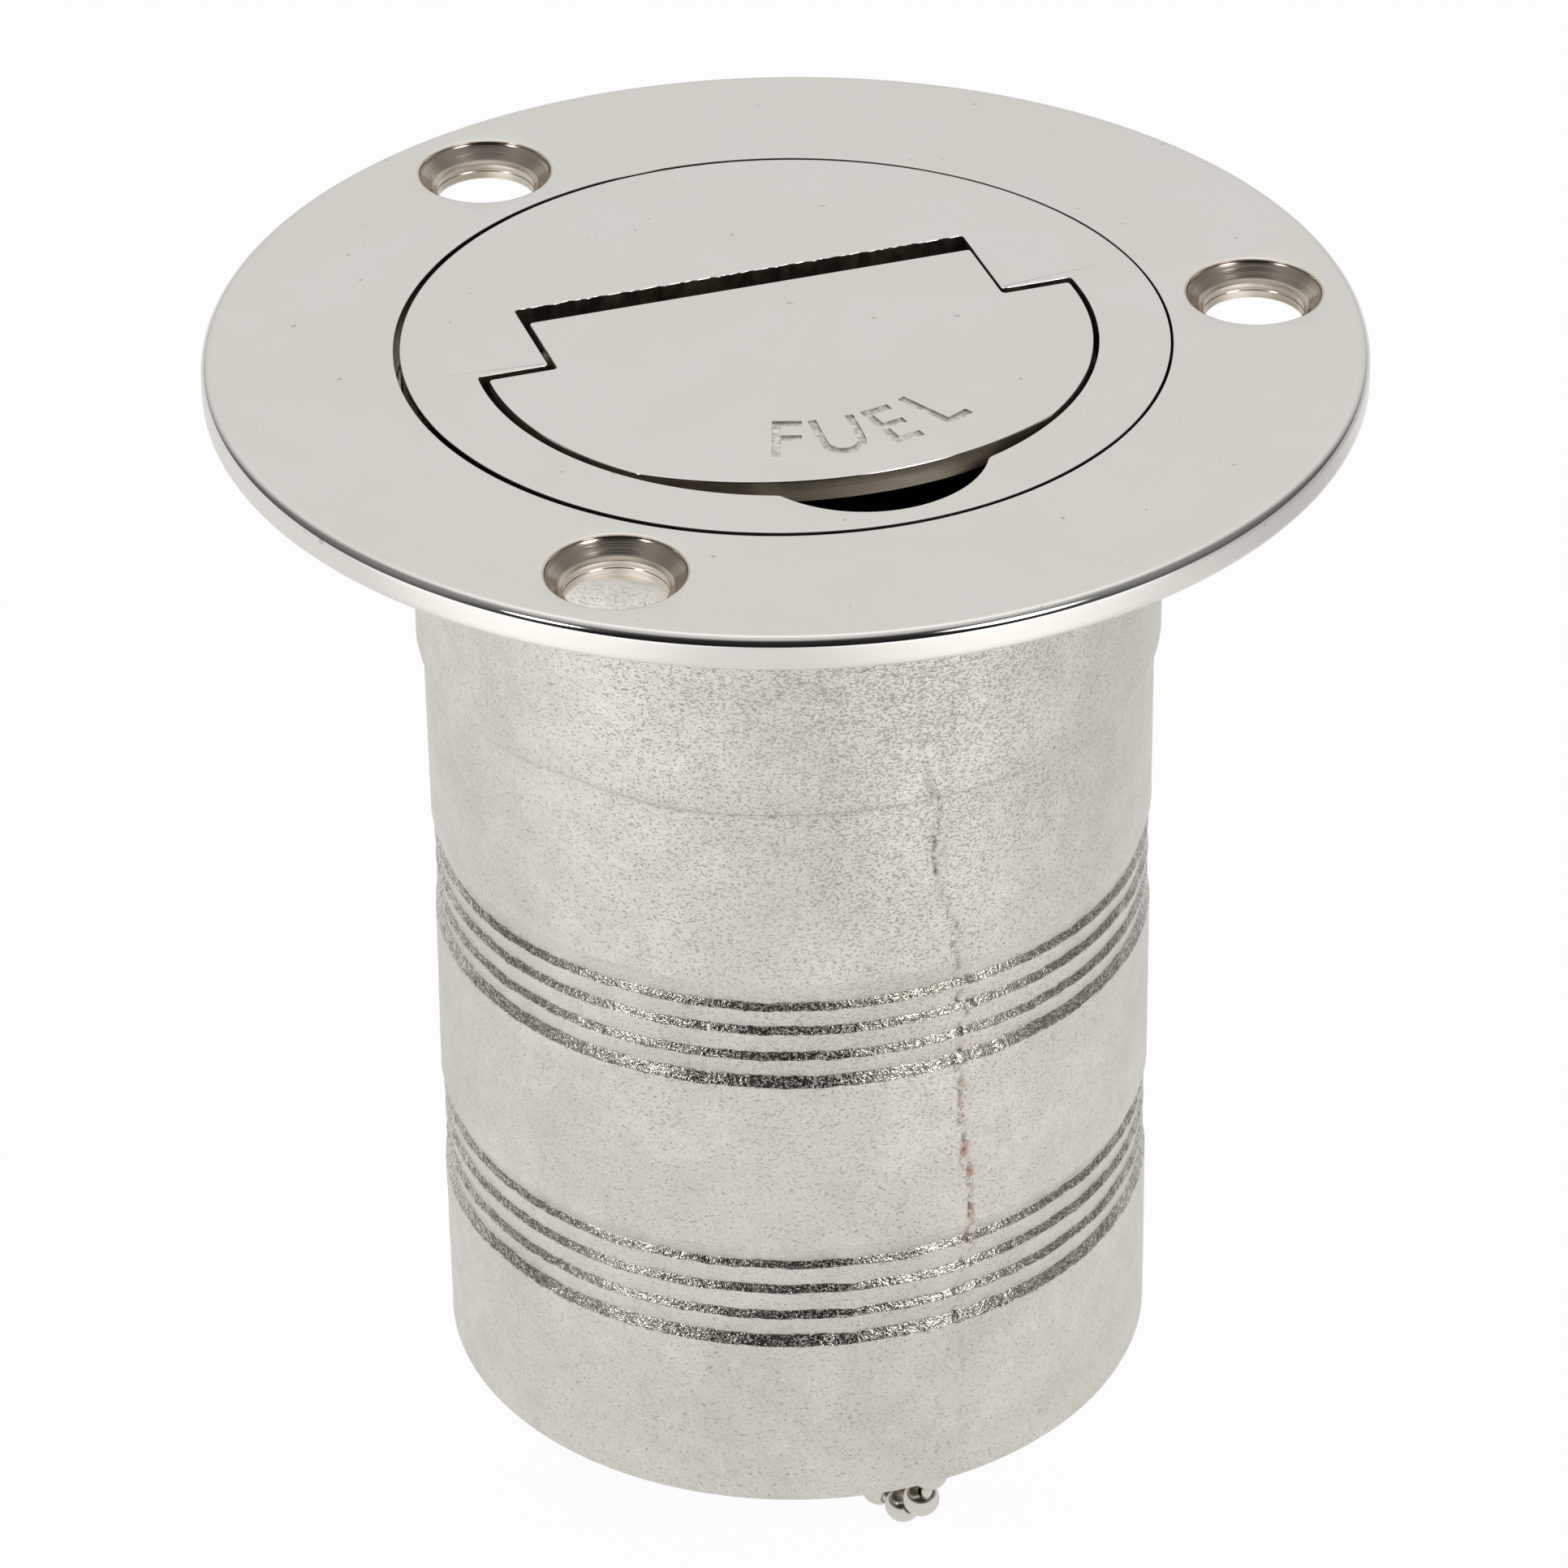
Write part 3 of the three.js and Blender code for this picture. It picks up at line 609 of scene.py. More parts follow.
def turn_about_z(degrees):
    """The matrix of a turn about the fill's axis."""
    return Matrix.Rotation(math.radians(degrees), 4, "Z")


# %% [markdown]
# ## Threads
# A thread is a ridge that climbs one pitch in each turn. On rings it needs no sweep: at each angle, the
# height above the ridge says how far the surface stands out. The cap's ridge and the neck's ridge run half
# a pitch apart.

# %% The thread's formula
PITCH = 2.0
RIDGE_FOOT, RIDGE_TOP = 0.45, 0.225


def ridge(height, angle, phase, top, bottom):
    """From 0 to 1: take the height in pitches, less the angle in turns, less the phase; its distance from a
    whole number, in millimetres, falls from the ridge's top to its foot; a run-out fades both ends."""
    turns = height / PITCH - angle / (2 * np.pi) - phase
    off = np.abs(turns - np.round(turns)) * PITCH
    shape = np.clip((RIDGE_FOOT - off) / (RIDGE_FOOT - RIDGE_TOP), 0, 1)
    return shape * np.clip((top - height) / 0.6, 0, 1) * np.clip((height - bottom) / 0.6, 0, 1)


# %% [markdown]
# ## The casting
# The flange is 80 mm across and 2.4 mm thick, with a rounded polished rim. Below it a fillet runs into the
# neck, then a small step, the tail, and two groups of barbs. A barb's ramp leans in going down, and its lip
# faces up, so a hose slides on and doesn't slide off. The mould's seam left an uneven ridge down the tail.

# %% Sizes of the casting
FLANGE_R, TOP_Z = 40.0, 2.4
RIM_ROUND = 0.75
NECK_R, NECK_FILLET = 26.1, 5.0
STEP_Z = -19.8
TAIL_R, TAIL_END = 25.62, -78.4
BORE_R = 22.6
BARB_ROOT, BARB_CREST, BARB_LIP = 25.1, 25.48, 0.55
BARBS = [                     # upper edge, three lips, top and foot of the last lip
    (-33.9, (-35.55, -37.55, -39.7), (-41.65, -42.45)),
    (-56.15, (-57.35, -59.5, -61.7), (-63.75, -64.55)),
]
SEAT_R, HEAD_LOW, GAP_ROUND = 26.7, -1.0, 0.08
SEAT_SHIFT, SEAT_SHIFT_AZIMUTH = 0.15, -152    # the seat is bored this far off centre
SEAL_SEAT_R, SEAL_SEAT_Z = 25.4, -3.3
FEMALE_ROOT, FEMALE_CREST, FEMALE_END = 23.7, 22.85, -13.2
FEMALE_TOP, FEMALE_BOTTOM = -4.8, -12.3
HOLE_CIRCLE, HOLE_AZIMUTHS = 33.0, (10.2, 130.2, 250.2)

# %% The casting's profile
def barb_line(edge, lips, last):
    """Corners of one group of barbs, from its foot to its upper edge."""
    corners = [(TAIL_R, last[1]), (BARB_ROOT, last[0])]
    for lip in reversed(lips):
        corners += [(BARB_CREST, lip - BARB_LIP), (BARB_ROOT, lip)]
    return corners + [(TAIL_R, edge)]


def plain_line(start, end):
    """A straight stretch of the tail, with a ring about every millimetre."""
    return between((TAIL_R, start), (TAIL_R, end), 1.1)


upper, lower = (barb_line(*group) for group in BARBS)
outside = np.vstack([
    soften([(BORE_R + 0.2, TAIL_END + 0.3), (BORE_R + 0.5, TAIL_END), (TAIL_R - 0.7, TAIL_END)], 0.2),
    arc((TAIL_R - 0.6, TAIL_END + 0.6), 0.6, -80, 0, 5),
    plain_line(TAIL_END + 0.6, lower[0][1] - 0.3),
    soften([(TAIL_R, lower[0][1] - 0.3), *lower, (TAIL_R, lower[-1][1] + 0.5)], 0.14),
    plain_line(lower[-1][1] + 0.5, upper[0][1] - 0.3),
    soften([(TAIL_R, upper[0][1] - 0.3), *upper, (TAIL_R, upper[-1][1] + 0.5)], 0.14),
    plain_line(upper[-1][1] + 0.5, STEP_Z - 0.6),
    soften([(TAIL_R, STEP_Z - 0.6), (TAIL_R, STEP_Z - 0.12),
            (NECK_R, STEP_Z + 0.06), (NECK_R, STEP_Z + 0.7)], 0.15),
    between((NECK_R, STEP_Z + 0.7), (NECK_R, -NECK_FILLET), 1.2),
    arc((NECK_R + NECK_FILLET, -NECK_FILLET), NECK_FILLET, 180, 90, 9),
    between((NECK_R + NECK_FILLET, 0), (FLANGE_R - 0.45, 0), 2.8),
    arc((FLANGE_R - 0.4, 0.4), 0.4, -90, 0, 6),
    [(FLANGE_R, 0.7), (FLANGE_R, 1.1)],
    arc((FLANGE_R - RIM_ROUND, TOP_Z - RIM_ROUND), RIM_ROUND, 0, 90, 16),
])
inside = np.vstack([
    [(38.85, TOP_Z), (38.2, TOP_Z), (27.6, TOP_Z), (27.0, TOP_Z)],
    arc((SEAT_R + GAP_ROUND, TOP_Z - GAP_ROUND), GAP_ROUND, 90, 180, 5),
    soften([(SEAT_R, TOP_Z - 0.5), (SEAT_R, HEAD_LOW - 0.3), (SEAL_SEAT_R, HEAD_LOW - 0.3),
            (SEAL_SEAT_R, SEAL_SEAT_Z), (FEMALE_ROOT, SEAL_SEAT_Z),
            (FEMALE_ROOT, SEAL_SEAT_Z - 0.8)], 0.12, 2),
    between((FEMALE_ROOT, SEAL_SEAT_Z - 0.8), (FEMALE_ROOT, FEMALE_END), 0.21),
    soften([(FEMALE_ROOT, FEMALE_END), (BORE_R, FEMALE_END - 1.1), (BORE_R, FEMALE_END - 3)], 0.2),
    between((BORE_R, FEMALE_END - 3), (BORE_R, TAIL_END + 0.3), 8.0),
    [(BORE_R, TAIL_END + 0.7)],
])
profile = np.vstack([outside, inside])
print("rings in the casting:", len(profile))

# %% [markdown]
# A cast skin is never quite round. Waves of many lengths, added up, give the slow unevenness, and they
# close on themselves after a full turn because each has a whole number of crests round the neck.

# %% Uneven skin and the mould's seam
def waves(angle, height, crests, across, count, seed):
    """A sum of cosines with up to crests crests a turn and slopes up to across per mm; about -1 to 1."""
    draw = np.random.default_rng(seed)
    total = np.zeros(np.broadcast(angle, height).shape)
    for _ in range(count):
        turns = draw.integers(-crests, crests + 1)
        slope = draw.uniform(-across, across)
        total += np.cos(turns * angle + slope * height + draw.uniform(0, 2 * np.pi))
    return total / math.sqrt(count)


SEAM_HEIGHTS = [-76, -69, -62, -58, -53, -48, -43, -38, -33, -29, -26.5, -24, -20.5, -16.5, -8]
SEAM_AZIMUTHS = [-63, -62.7, -63.8, -61.2, -61.6, -63.1, -63.6, -62.6,
                 -63.8, -65.2, -67.3, -67.8, -66.7, -70.4, -70]
CRACK_AT, CRACK_WIDTH = -0.05, 0.15    # the dark crack lies beside the seam's ridge
SECOND_SEAM = -81.0


def angle_apart(angle, azimuth_deg):
    """The signed angle between the two, in radians, from -pi to pi."""
    return (angle - np.radians(azimuth_deg) + np.pi) % (2 * np.pi) - np.pi


def seam_distance(angle, height):
    """Signed distance in mm round the tail from the seam, whose listed line is jittered by waves."""
    azimuth = np.interp(height, SEAM_HEIGHTS, SEAM_AZIMUTHS) + 0.5 * waves(np.zeros(1), height, 1, 4.0, 9, 11)
    return angle_apart(angle, azimuth) * TAIL_R


def hump(distance, width):
    """A bell: 1 at no distance, falling to 1/e at one width, by the exponential of minus the square."""
    return np.exp(-(distance / width) ** 2)


def seam_strength(height):
    """How strong the seam is at a height: faint near the flange, plain from the step to the second barbs."""
    fade = np.interp(height, [-78, -70, -61, -56, -20, -17, -8], [0.12, 0.25, 0.45, 0.95, 1.0, 0.45, 0.1])
    return fade * (0.75 + 0.25 * waves(np.zeros(1), height, 1, 3.0, 6, 12))


even = np.radians(np.arange(-180, 180, 1.25))
near_seam = np.radians(np.arange(-71.5, -59.5, 0.3))
angle = np.union1d(np.round(even, 5), np.round(near_seam, 5))[None]
radius, height = profile[:, :1] + 0 * angle, profile[:, 1:] + 0 * angle

is_outside = (np.arange(len(profile)) < len(outside))[:, None]
is_cast = is_outside & (profile[:, 1:] < -0.5) & (profile[:, 1:] > TAIL_END + 0.5)
is_barb = is_cast & np.logical_or.reduce([
    (profile[:, 1:] > last[1] - 0.6) & (profile[:, 1:] < edge + 0.4) for edge, _, last in BARBS])
near_step = hump(profile[:, 1:] - STEP_Z, 0.5) * is_cast

swell = 0.03 * waves(angle, height, 7, 0.25, 14, 1) + 0.014 * waves(angle, height, 60, 2.2, 26, 2)
ragged = 0.05 * waves(angle, height, 120, 3.0, 30, 3) + 0.04 * waves(angle, height, 25, 0.6, 12, 4)


def step_wave(angle):
    """How far the step under the neck wanders up and down, in mm."""
    return 0.16 * waves(angle, np.zeros(1), 12, 0.0, 10, 5)


apart = seam_distance(angle, height)
raised = 0.15 * hump(apart - 0.35, 0.32) - 0.17 * hump(apart - CRACK_AT, CRACK_WIDTH)
low_barbs = is_barb & (height < lower[-1][1] + 1.15) & (profile[:, :1] < BARB_CREST - 0.08)
filled = 0.16 * hump(angle_apart(angle, SECOND_SEAM) * TAIL_R, 0.7) * low_barbs

radius = radius + is_cast * (swell + seam_strength(height) * raised) + filled
height = height + is_barb * ragged + near_step * step_wave(angle)
thread = ridge(height, angle, 0.5, FEMALE_TOP, FEMALE_BOTTOM) * ~is_outside
radius = radius - (FEMALE_ROOT - FEMALE_CREST) * thread * (np.abs(radius - FEMALE_ROOT) < 0.01)
seat = ~is_outside & (profile[:, :1] > 26) & (profile[:, :1] < 27.5)
radius = radius + SEAT_SHIFT * np.cos(angle - math.radians(SEAT_SHIFT_AZIMUTH)) * seat
casting = piece_of_rings("casting", rings(radius, height, angle), joined=True)

# %% [markdown]
# ## Screw holes and the chain's boss
# Three holes are drilled and countersunk through the flange. The cutter is itself a lathe piece, with a
# small step where the countersink meets the drill, and a flared lip that leaves the hole's edge rounded.

# %% Drill the flange and add the boss
HOLE_R, SINK_R = 3.5, 4.7
DRILL = soften([
    (0, -2), (HOLE_R, -2), (HOLE_R, 0.55), (HOLE_R + 0.06, 0.6), (HOLE_R + 0.06, 0.72), (HOLE_R, 0.78),
    (HOLE_R, 1.12), (HOLE_R + 0.3, 1.3), (HOLE_R + 0.42, 1.42), (SINK_R - 0.16, 2.06), (SINK_R - 0.04, 2.2),
    (SINK_R, 2.32), (SINK_R + 0.14, 2.385), (SINK_R + 0.5, 2.46), (SINK_R + 0.5, 3.5), (0, 3.5),
], 0.05, 2)
drills = []
for azimuth in HOLE_AZIMUTHS:
    place = turn_about_z(azimuth) @ Matrix.Translation((HOLE_CIRCLE * MM, 0, 0))
    drills.append(move(turned("drill", DRILL, 120), place))

CHAIN_AZIMUTH = -60.0
BOSS_FACE, BOSS_R, ANCHOR_Z = 20.6, 4.6, -68.5


def along_chain(distance, height):
    """Places a piece made about Z with its axis along the chain's azimuth and its top towards the wall."""
    return (turn_about_z(CHAIN_AZIMUTH) @ Matrix.Translation((distance * MM, 0, height * MM))
            @ Matrix.Rotation(math.pi / 2, 4, "Y"))


boss_profile = soften([(0, 0), (BOSS_R - 0.3, 0), (BOSS_R, 0.3), (BOSS_R + 0.2, 3.2), (0, 3.2)], 0.25)
boss = move(turned("boss", boss_profile, 48), along_chain(BOSS_FACE, ANCHOR_Z))
carve(casting, [boss], "UNION")
carve(casting, drills)


# %% Finish the casting
def set_attribute(mesh, name, values):
    """Stores a value from 0 to 1 on each vertex, for the cast skin's material to read."""
    attribute = mesh.attributes.new(name, "FLOAT", "POINT")
    attribute.data.foreach_set("value", np.clip(values, 0, 1).astype(np.float32))


def point_polar(mesh):
    """Each vertex's angle, and its height and distance from the axis in millimetres."""
    place = np.empty(len(mesh.vertices) * 3)
    mesh.vertices.foreach_get("co", place)
    x, y, z = place.reshape(-1, 3).T / MM
    return np.arctan2(y, x), z, np.hypot(x, y)


angles, heights, radii = point_polar(casting.data)
skin = (radii > 24.5) & (heights < -0.5)
apart = seam_distance(angles, heights)
set_attribute(casting.data, "seam", hump(apart - CRACK_AT, CRACK_WIDTH) * seam_strength(heights) * skin)
# painted shade: a dark line on the step's downward-facing ledge, where the neck overhangs the tail
step_shade_line = 0.6 * hump(heights - STEP_Z - step_wave(angles) + 0.06, 0.16)
set_attribute(casting.data, "step", step_shade_line * skin)
normals = np.empty(len(casting.data.vertices) * 3)
casting.data.vertices.foreach_get("normal", normals)
set_attribute(casting.data, "lip", (normals[2::3] - 0.15) / 0.2 * skin * (heights < -30))
rusty = np.interp(heights, [-60, -56, -50, -44, -40, -33], [0, 0.9, 1.0, 0.7, 0.25, 0])
set_attribute(casting.data, "rust", rusty * hump(apart - 0.1, 0.22) * skin)
front = hump(np.degrees(angle_apart(angles, -76)), 44)
upper_part = np.interp(heights, [-60, -40, -22, -10], [0.15, 0.45, 0.8, 1.0])
set_attribute(casting.data, "pitting", 0.18 + 0.8 * front * upper_part)


def casting_finish(middle, normal):
    """0 cast skin, 1 polished top, 2 polished rim, 3 turned holes, seats and thread."""
    x, y, z = middle.T
    reach = np.hypot(x, y)
    chosen = np.zeros(len(middle))
    chosen[(reach > FLANGE_R - 0.8) & (z > 0.02)] = 2
    chosen[(z > 1.5) & (reach > 26.4)] = 1
    chosen[(reach < 25.5) & (z > FEMALE_END - 1.2)] = 3
    chosen[(reach < 26.86) & (z > -2) & (np.abs(normal[:, 2]) < 0.3)] = 3
    for azimuth in np.radians(HOLE_AZIMUTHS):
        off = np.hypot(x - HOLE_CIRCLE * np.cos(azimuth), y - HOLE_CIRCLE * np.sin(azimuth))
        chosen[(off < SINK_R + 0.13) & (z > 0.01) & (z < TOP_Z - 0.005)] = 3
    return chosen


finish_piece(casting, "deck_body", ["deck_flange_casting"],
             [CAST, POLISHED, RIM_POLISHED, TURNED], casting_finish)

# %% [markdown]
# ## Outlines of the cap's recess and of the handle
# Both outlines are a disc with a block on its straight side, seen from the cap's axis. From there, every
# ray crosses the outline once, so a radius for each angle describes it. The recess has a round finger notch
# as well. The line is then cut into equal steps, and each point is averaged with its neighbours, which
# rounds the corners.

# %% Radius for each angle
HINGE_AZIMUTH = 17.95
RECESS = dict(half_width=16.4, straight=9.95, shoulder=1.7, radius=21.5)
HANDLE = dict(half_width=16.1, straight=7.9, shoulder=1.1, radius=21.0)
HANDLE_FRONT = (0.4, 7.05, 26.6)    # a flatter arc that trims the handle's front
NOTCH = (0.25, -16.36, 8.3)


def disc_and_block(angle, half_width, straight, shoulder, radius):
    """The further of two crossings: with the disc, cut off at the shoulder, and with the block above."""
    up, across = np.sin(angle), np.maximum(np.abs(np.cos(angle)), 1e-9)
    climb = np.maximum(up, 1e-9)
    disc = np.minimum(radius, shoulder / climb)
    block = np.minimum(half_width / across, straight / climb)
    return np.where(up > 0, np.maximum(disc, block), radius)


def far_side(angle, t, n, radius):
    """Where a ray from the axis leaves a circle about (t, n): b plus the root of b^2 - c, or 0 for a miss."""
    b = t * np.cos(angle) + n * np.sin(angle)
    under_root = b**2 - (t**2 + n**2 - radius**2)
    return np.where(under_root > 0, np.maximum(b + np.sqrt(np.maximum(under_root, 0)), 0), 0)


def even_outline(radius_of, count, window):
    """Points in equal steps along a line given by radius, each averaged with window neighbours a side."""
    fine = np.linspace(-np.pi, np.pi, 40001)
    line = np.column_stack([radius_of(fine) * np.cos(fine), radius_of(fine) * np.sin(fine)])
    run = np.concatenate([[0], np.cumsum(np.linalg.norm(np.diff(line, axis=0), axis=1))])
    steps = np.linspace(0, run[-1], count, endpoint=False)
    even = np.column_stack([np.interp(steps, run, line[:, i]) for i in range(2)])
    shifts = range(-window, window + 1)
    return sum(np.roll(even, shift, axis=0) for shift in shifts) / len(shifts)


def outward(line):
    """The unit normals of a closed anticlockwise line, from each point's two neighbours."""
    along = np.roll(line, -1, axis=0) - np.roll(line, 1, axis=0)
    normal = np.column_stack([along[:, 1], -along[:, 0]])
    return normal / np.linalg.norm(normal, axis=1, keepdims=True)


def ring_at(line, height):
    """A flat outline at a height, as one ring of points."""
    return np.column_stack([line, np.broadcast_to(height, len(line))])


recess_line = even_outline(lambda a: np.maximum(disc_and_block(a, **RECESS), far_side(a, *NOTCH)), 620, 1)
back_edge = (recess_line[:, 1] > RECESS["straight"] - 0.25) * (np.abs(recess_line[:, 0]) < 16)
recess_line[:, 1] += 0.05 * back_edge * waves(recess_line[:, 0] / 5.0, np.zeros(1), 40, 0.0, 24, 21)
ray = np.arctan2(recess_line[:, 1], recess_line[:, 0])
rays = np.column_stack([np.cos(ray), np.sin(ray)])
print("recess outline:", len(recess_line), "points")

# %% [markdown]
# ## The cap
# One skin covers the whole cap: from the middle of its underside, out over the threaded plug and the head,
# across the polished top, down into the handle's recess and in to the middle of the recess's floor.

# %% Build the cap
HEAD_R = 26.4
LEDGE_Z, POCKET_Z = -0.1, -3.6
POCKET_R, NOTCH_POCKET_R = 18.5, 21.0
MALE_ROOT, MALE_CREST, MALE_TOP, MALE_BOTTOM = 22.55, 23.4, -4.2, -10.2
SEAL_NECK_R = 23.1

plug = np.vstack([
    soften([(0, -10.5), (4.7, -10.5), (5, -10.2), (5, -8), (18.5, -8), (18.5, -11), (22.05, -11),
            (MALE_ROOT, -10.5), (MALE_ROOT, -10.3)], 0.25),
    between((MALE_ROOT, -10.3), (MALE_ROOT, -3.6), 0.2),
    soften([(MALE_ROOT, -3.6), (MALE_ROOT, -3.4), (SEAL_NECK_R, -3.4), (SEAL_NECK_R, HEAD_LOW),
            (HEAD_R, HEAD_LOW), (HEAD_R, TOP_Z - 0.5)], 0.2),
    arc((HEAD_R - GAP_ROUND, TOP_Z - GAP_ROUND), GAP_ROUND, 0, 90, 5),
    [(HEAD_R - 0.3, TOP_Z)],
])
hinge_angle = ray[None] + math.radians(HINGE_AZIMUTH)
male = ridge(plug[:, 1:], hinge_angle, 0.0, MALE_TOP, MALE_BOTTOM) * (np.abs(plug[:, :1] - MALE_ROOT) < 0.01)
plug_radius = plug[:, :1] + (MALE_CREST - MALE_ROOT) * male
plug_rings = rings(plug_radius, plug[:, 1:], ray[None])

EDGE = 0.07
recess_out = outward(recess_line)
limit = np.where(recess_line[:, 1] > RECESS["shoulder"] - 0.2, 99.0, POCKET_R)
in_notch = np.minimum(far_side(ray, *NOTCH), NOTCH_POCKET_R)
limit = np.maximum(limit, np.where(recess_line[:, 1] < 0, in_notch, 0))
reach = np.minimum(np.hypot(*recess_line.T) - 0.02, limit)
pocket_line = rays * reach[:, None]
recess_rings = [ring_at(recess_line + recess_out * 0.32, TOP_Z)]
for offset, drop in arc((EDGE, -EDGE), EDGE, 90, 180, 6):
    recess_rings.append(ring_at(recess_line + recess_out * offset, TOP_Z + drop))
recess_rings += [ring_at(recess_line, z) for z in (1.6, 0.9, LEDGE_Z + 0.1)]
recess_rings += [ring_at(recess_line - recess_out * 0.08, LEDGE_Z), ring_at(pocket_line, LEDGE_Z)]
recess_rings += [ring_at(pocket_line * 0.998, z) for z in (LEDGE_Z - 0.15, -2.0, POCKET_Z + 0.2)]
recess_rings += [ring_at(pocket_line * share, POCKET_Z) for share in (0.985, 0.6, 0.0)]
cap = piece_of_rings("cap", np.concatenate([plug_rings, np.stack(recess_rings)]))
move(cap, turn_about_z(HINGE_AZIMUTH))


def cap_finish(middle, normal):
    """0 polished top, 1 turned plug, 2 rough recess in painted shade."""
    x, y, z = middle.T
    reach = np.hypot(x, y)
    chosen = np.zeros(len(middle))
    chosen[(reach > 22) & (z < 2.0)] = 1
    chosen[z < POCKET_Z - 0.1] = 1
    under_ledge = (reach > 21.7) & (z < LEDGE_Z - 0.05)
    chosen[(reach < 25) & (z < TOP_Z - EDGE) & (z > POCKET_Z - 0.1) & ~under_ledge] = 2
    return chosen


# %% Hinge pins, and the holes that hold them
HINGE_N, HINGE_Z = 4.8, 0.8
PIN_R, PIN_HOLE_R = 0.8, 1.0


def on_hinge(from_t, to_t, radius, name, columns=40):
    """A rod on the hinge line with softened ends."""
    profile = soften([(0, from_t), (radius, from_t), (radius, to_t), (0, to_t)], 0.15)
    place = (turn_about_z(HINGE_AZIMUTH) @ Matrix.Translation((0, HINGE_N * MM, HINGE_Z * MM))
             @ Matrix.Rotation(math.pi / 2, 4, "Y"))
    return move(turned(name, profile, columns), place)


carve(cap, [on_hinge(-28, 28, PIN_HOLE_R, "pin_drill")])
finish_piece(cap, "cap", ["threaded_cap"], [POLISHED, TURNED, ROUGH_CUT_IN_SHADE], cap_finish)
for side, ends in (("left", (-24.5, -12.5)), ("right", (12.5, 24.5))):
    pin = on_hinge(*ends, PIN_R, f"{side}_pin")
    finish_piece(pin, "cap", [f"hinge_pin_{side}"], [STAMPED])

# %% [markdown]
# ## The lift handle
# The handle is a thin plate with a thicker knuckle along its hinge. Its underside is scooped at the notch,
# to let a fingertip in, so its edge is thinner there. A plain word is engraved near the notch, letter by
# letter on an arc.

# %% Build the handle
PLATE_LOW, KNUCKLE_LOW, KNUCKLE_START = 0.2, -0.8, 1.7
SCOOP = (0.25, -17.5, 9.2)
SCOOP_TOP = 1.0
HANDLE_EDGE = 0.12
FRONT_DRAFT = 0.45            # the front side leans out by this much going down
HANDLE_PLAY = 0.14            # the handle sits this far to the right in its recess

handle_line = even_outline(
    lambda a: np.minimum(disc_and_block(a, **HANDLE), far_side(a, *HANDLE_FRONT)), 560, 1) + (HANDLE_PLAY, 0)
handle_out = outward(handle_line)


def underside(line):
    """The plate's lower face: lifted to the scoop's top inside a circle, over an edge a millimetre wide."""
    x, y, radius = SCOOP
    lift = np.clip(radius - np.hypot(line[:, 0] - x, line[:, 1] - y), 0, 1)
    return PLATE_LOW + (SCOOP_TOP - PLATE_LOW) * lift**2 * (3 - 2 * lift)


handle_rings = [ring_at(handle_line * share, underside(handle_line * share))
                for share in np.concatenate([[0, 0.3], np.linspace(0.42, 0.99, 24)])]
low_edge = underside(handle_line)
room = np.clip((HANDLE["radius"] - np.hypot(*handle_line.T)) / 1.2, 0, 1) * (handle_line[:, 1] < 0)
skirt = handle_out * (FRONT_DRAFT * room)[:, None]
handle_rings.append(ring_at(handle_line + skirt, low_edge + 0.1))
handle_rings.append(ring_at(handle_line + skirt * 0.5, 0.5 * (low_edge + TOP_Z)))
for offset, drop in arc((-HANDLE_EDGE, -HANDLE_EDGE), HANDLE_EDGE, 0, 90, 6):
    handle_rings.append(ring_at(handle_line + handle_out * offset, TOP_Z + drop))
handle_rings.append(ring_at(handle_line - handle_out * 0.25, TOP_Z))
handle = piece_of_rings("handle", np.stack(handle_rings), lid_above=True)

side = HANDLE["half_width"] - 0.02
block = [(-side + HANDLE_PLAY, KNUCKLE_START), (side + HANDLE_PLAY, KNUCKLE_START),
         (side + HANDLE_PLAY, HANDLE["straight"] - 0.02), (-side + HANDLE_PLAY, HANDLE["straight"] - 0.02)]
block = soften([block[0], *block[1:], block[0], block[1]], 0.4)[4:]
knuckle_rings = np.stack([
    ring_at(block - outward(block) * 0.2, KNUCKLE_LOW), ring_at(block, KNUCKLE_LOW + 0.2),
    ring_at(block, 1.5)])
knuckle = piece_of_rings("knuckle", knuckle_rings, lid_below=True, lid_above=True)
carve(handle, [knuckle], "UNION")
move(handle, turn_about_z(HINGE_AZIMUTH))
carve(handle, [on_hinge(-20, -12.2, PIN_HOLE_R, "drill_left"), on_hinge(12.2, 20, PIN_HOLE_R, "drill_right")])

# %% Engrave the word
WORD, LETTER_SIZE, LETTER_WIDTH, LETTER_DEPTH = "FUEL", 7.0, 0.76, 0.14
LETTER_CIRCLE, LETTER_MIDDLE, LETTER_STEP = 14.3, -67.6, 15.2


def letter_block(letter, azimuth):
    """One letter as a block from the engraving's floor to above the plate, its top towards the axis."""
    curve = bpy.data.curves.new("letter", "FONT")
    curve.body = letter
    curve.size = LETTER_SIZE * MM
    curve.align_x, curve.align_y = "CENTER", "CENTER"
    curve.extrude = 0.5 * MM
    curve.offset = 0.055 * MM
    text = bpy.data.objects.new("letter", curve)
    bpy.context.scene.collection.objects.link(text)
    evaluated = text.evaluated_get(bpy.context.evaluated_depsgraph_get())
    block = bpy.data.objects.new("letter_block", bpy.data.meshes.new_from_object(evaluated))
    bpy.data.objects.remove(text)
    bpy.context.scene.collection.objects.link(block)
    tidy_mesh(block.data)
    outward_turn = turn_about_z(azimuth + 90)
    middle = Vector((math.cos(math.radians(azimuth)), math.sin(math.radians(azimuth)), 0)) * LETTER_CIRCLE
    middle.z = TOP_Z - LETTER_DEPTH + 0.5
    narrow = Matrix.Diagonal((LETTER_WIDTH, 1, 1, 1))
    return move(block, Matrix.Translation(middle * MM) @ outward_turn @ narrow)


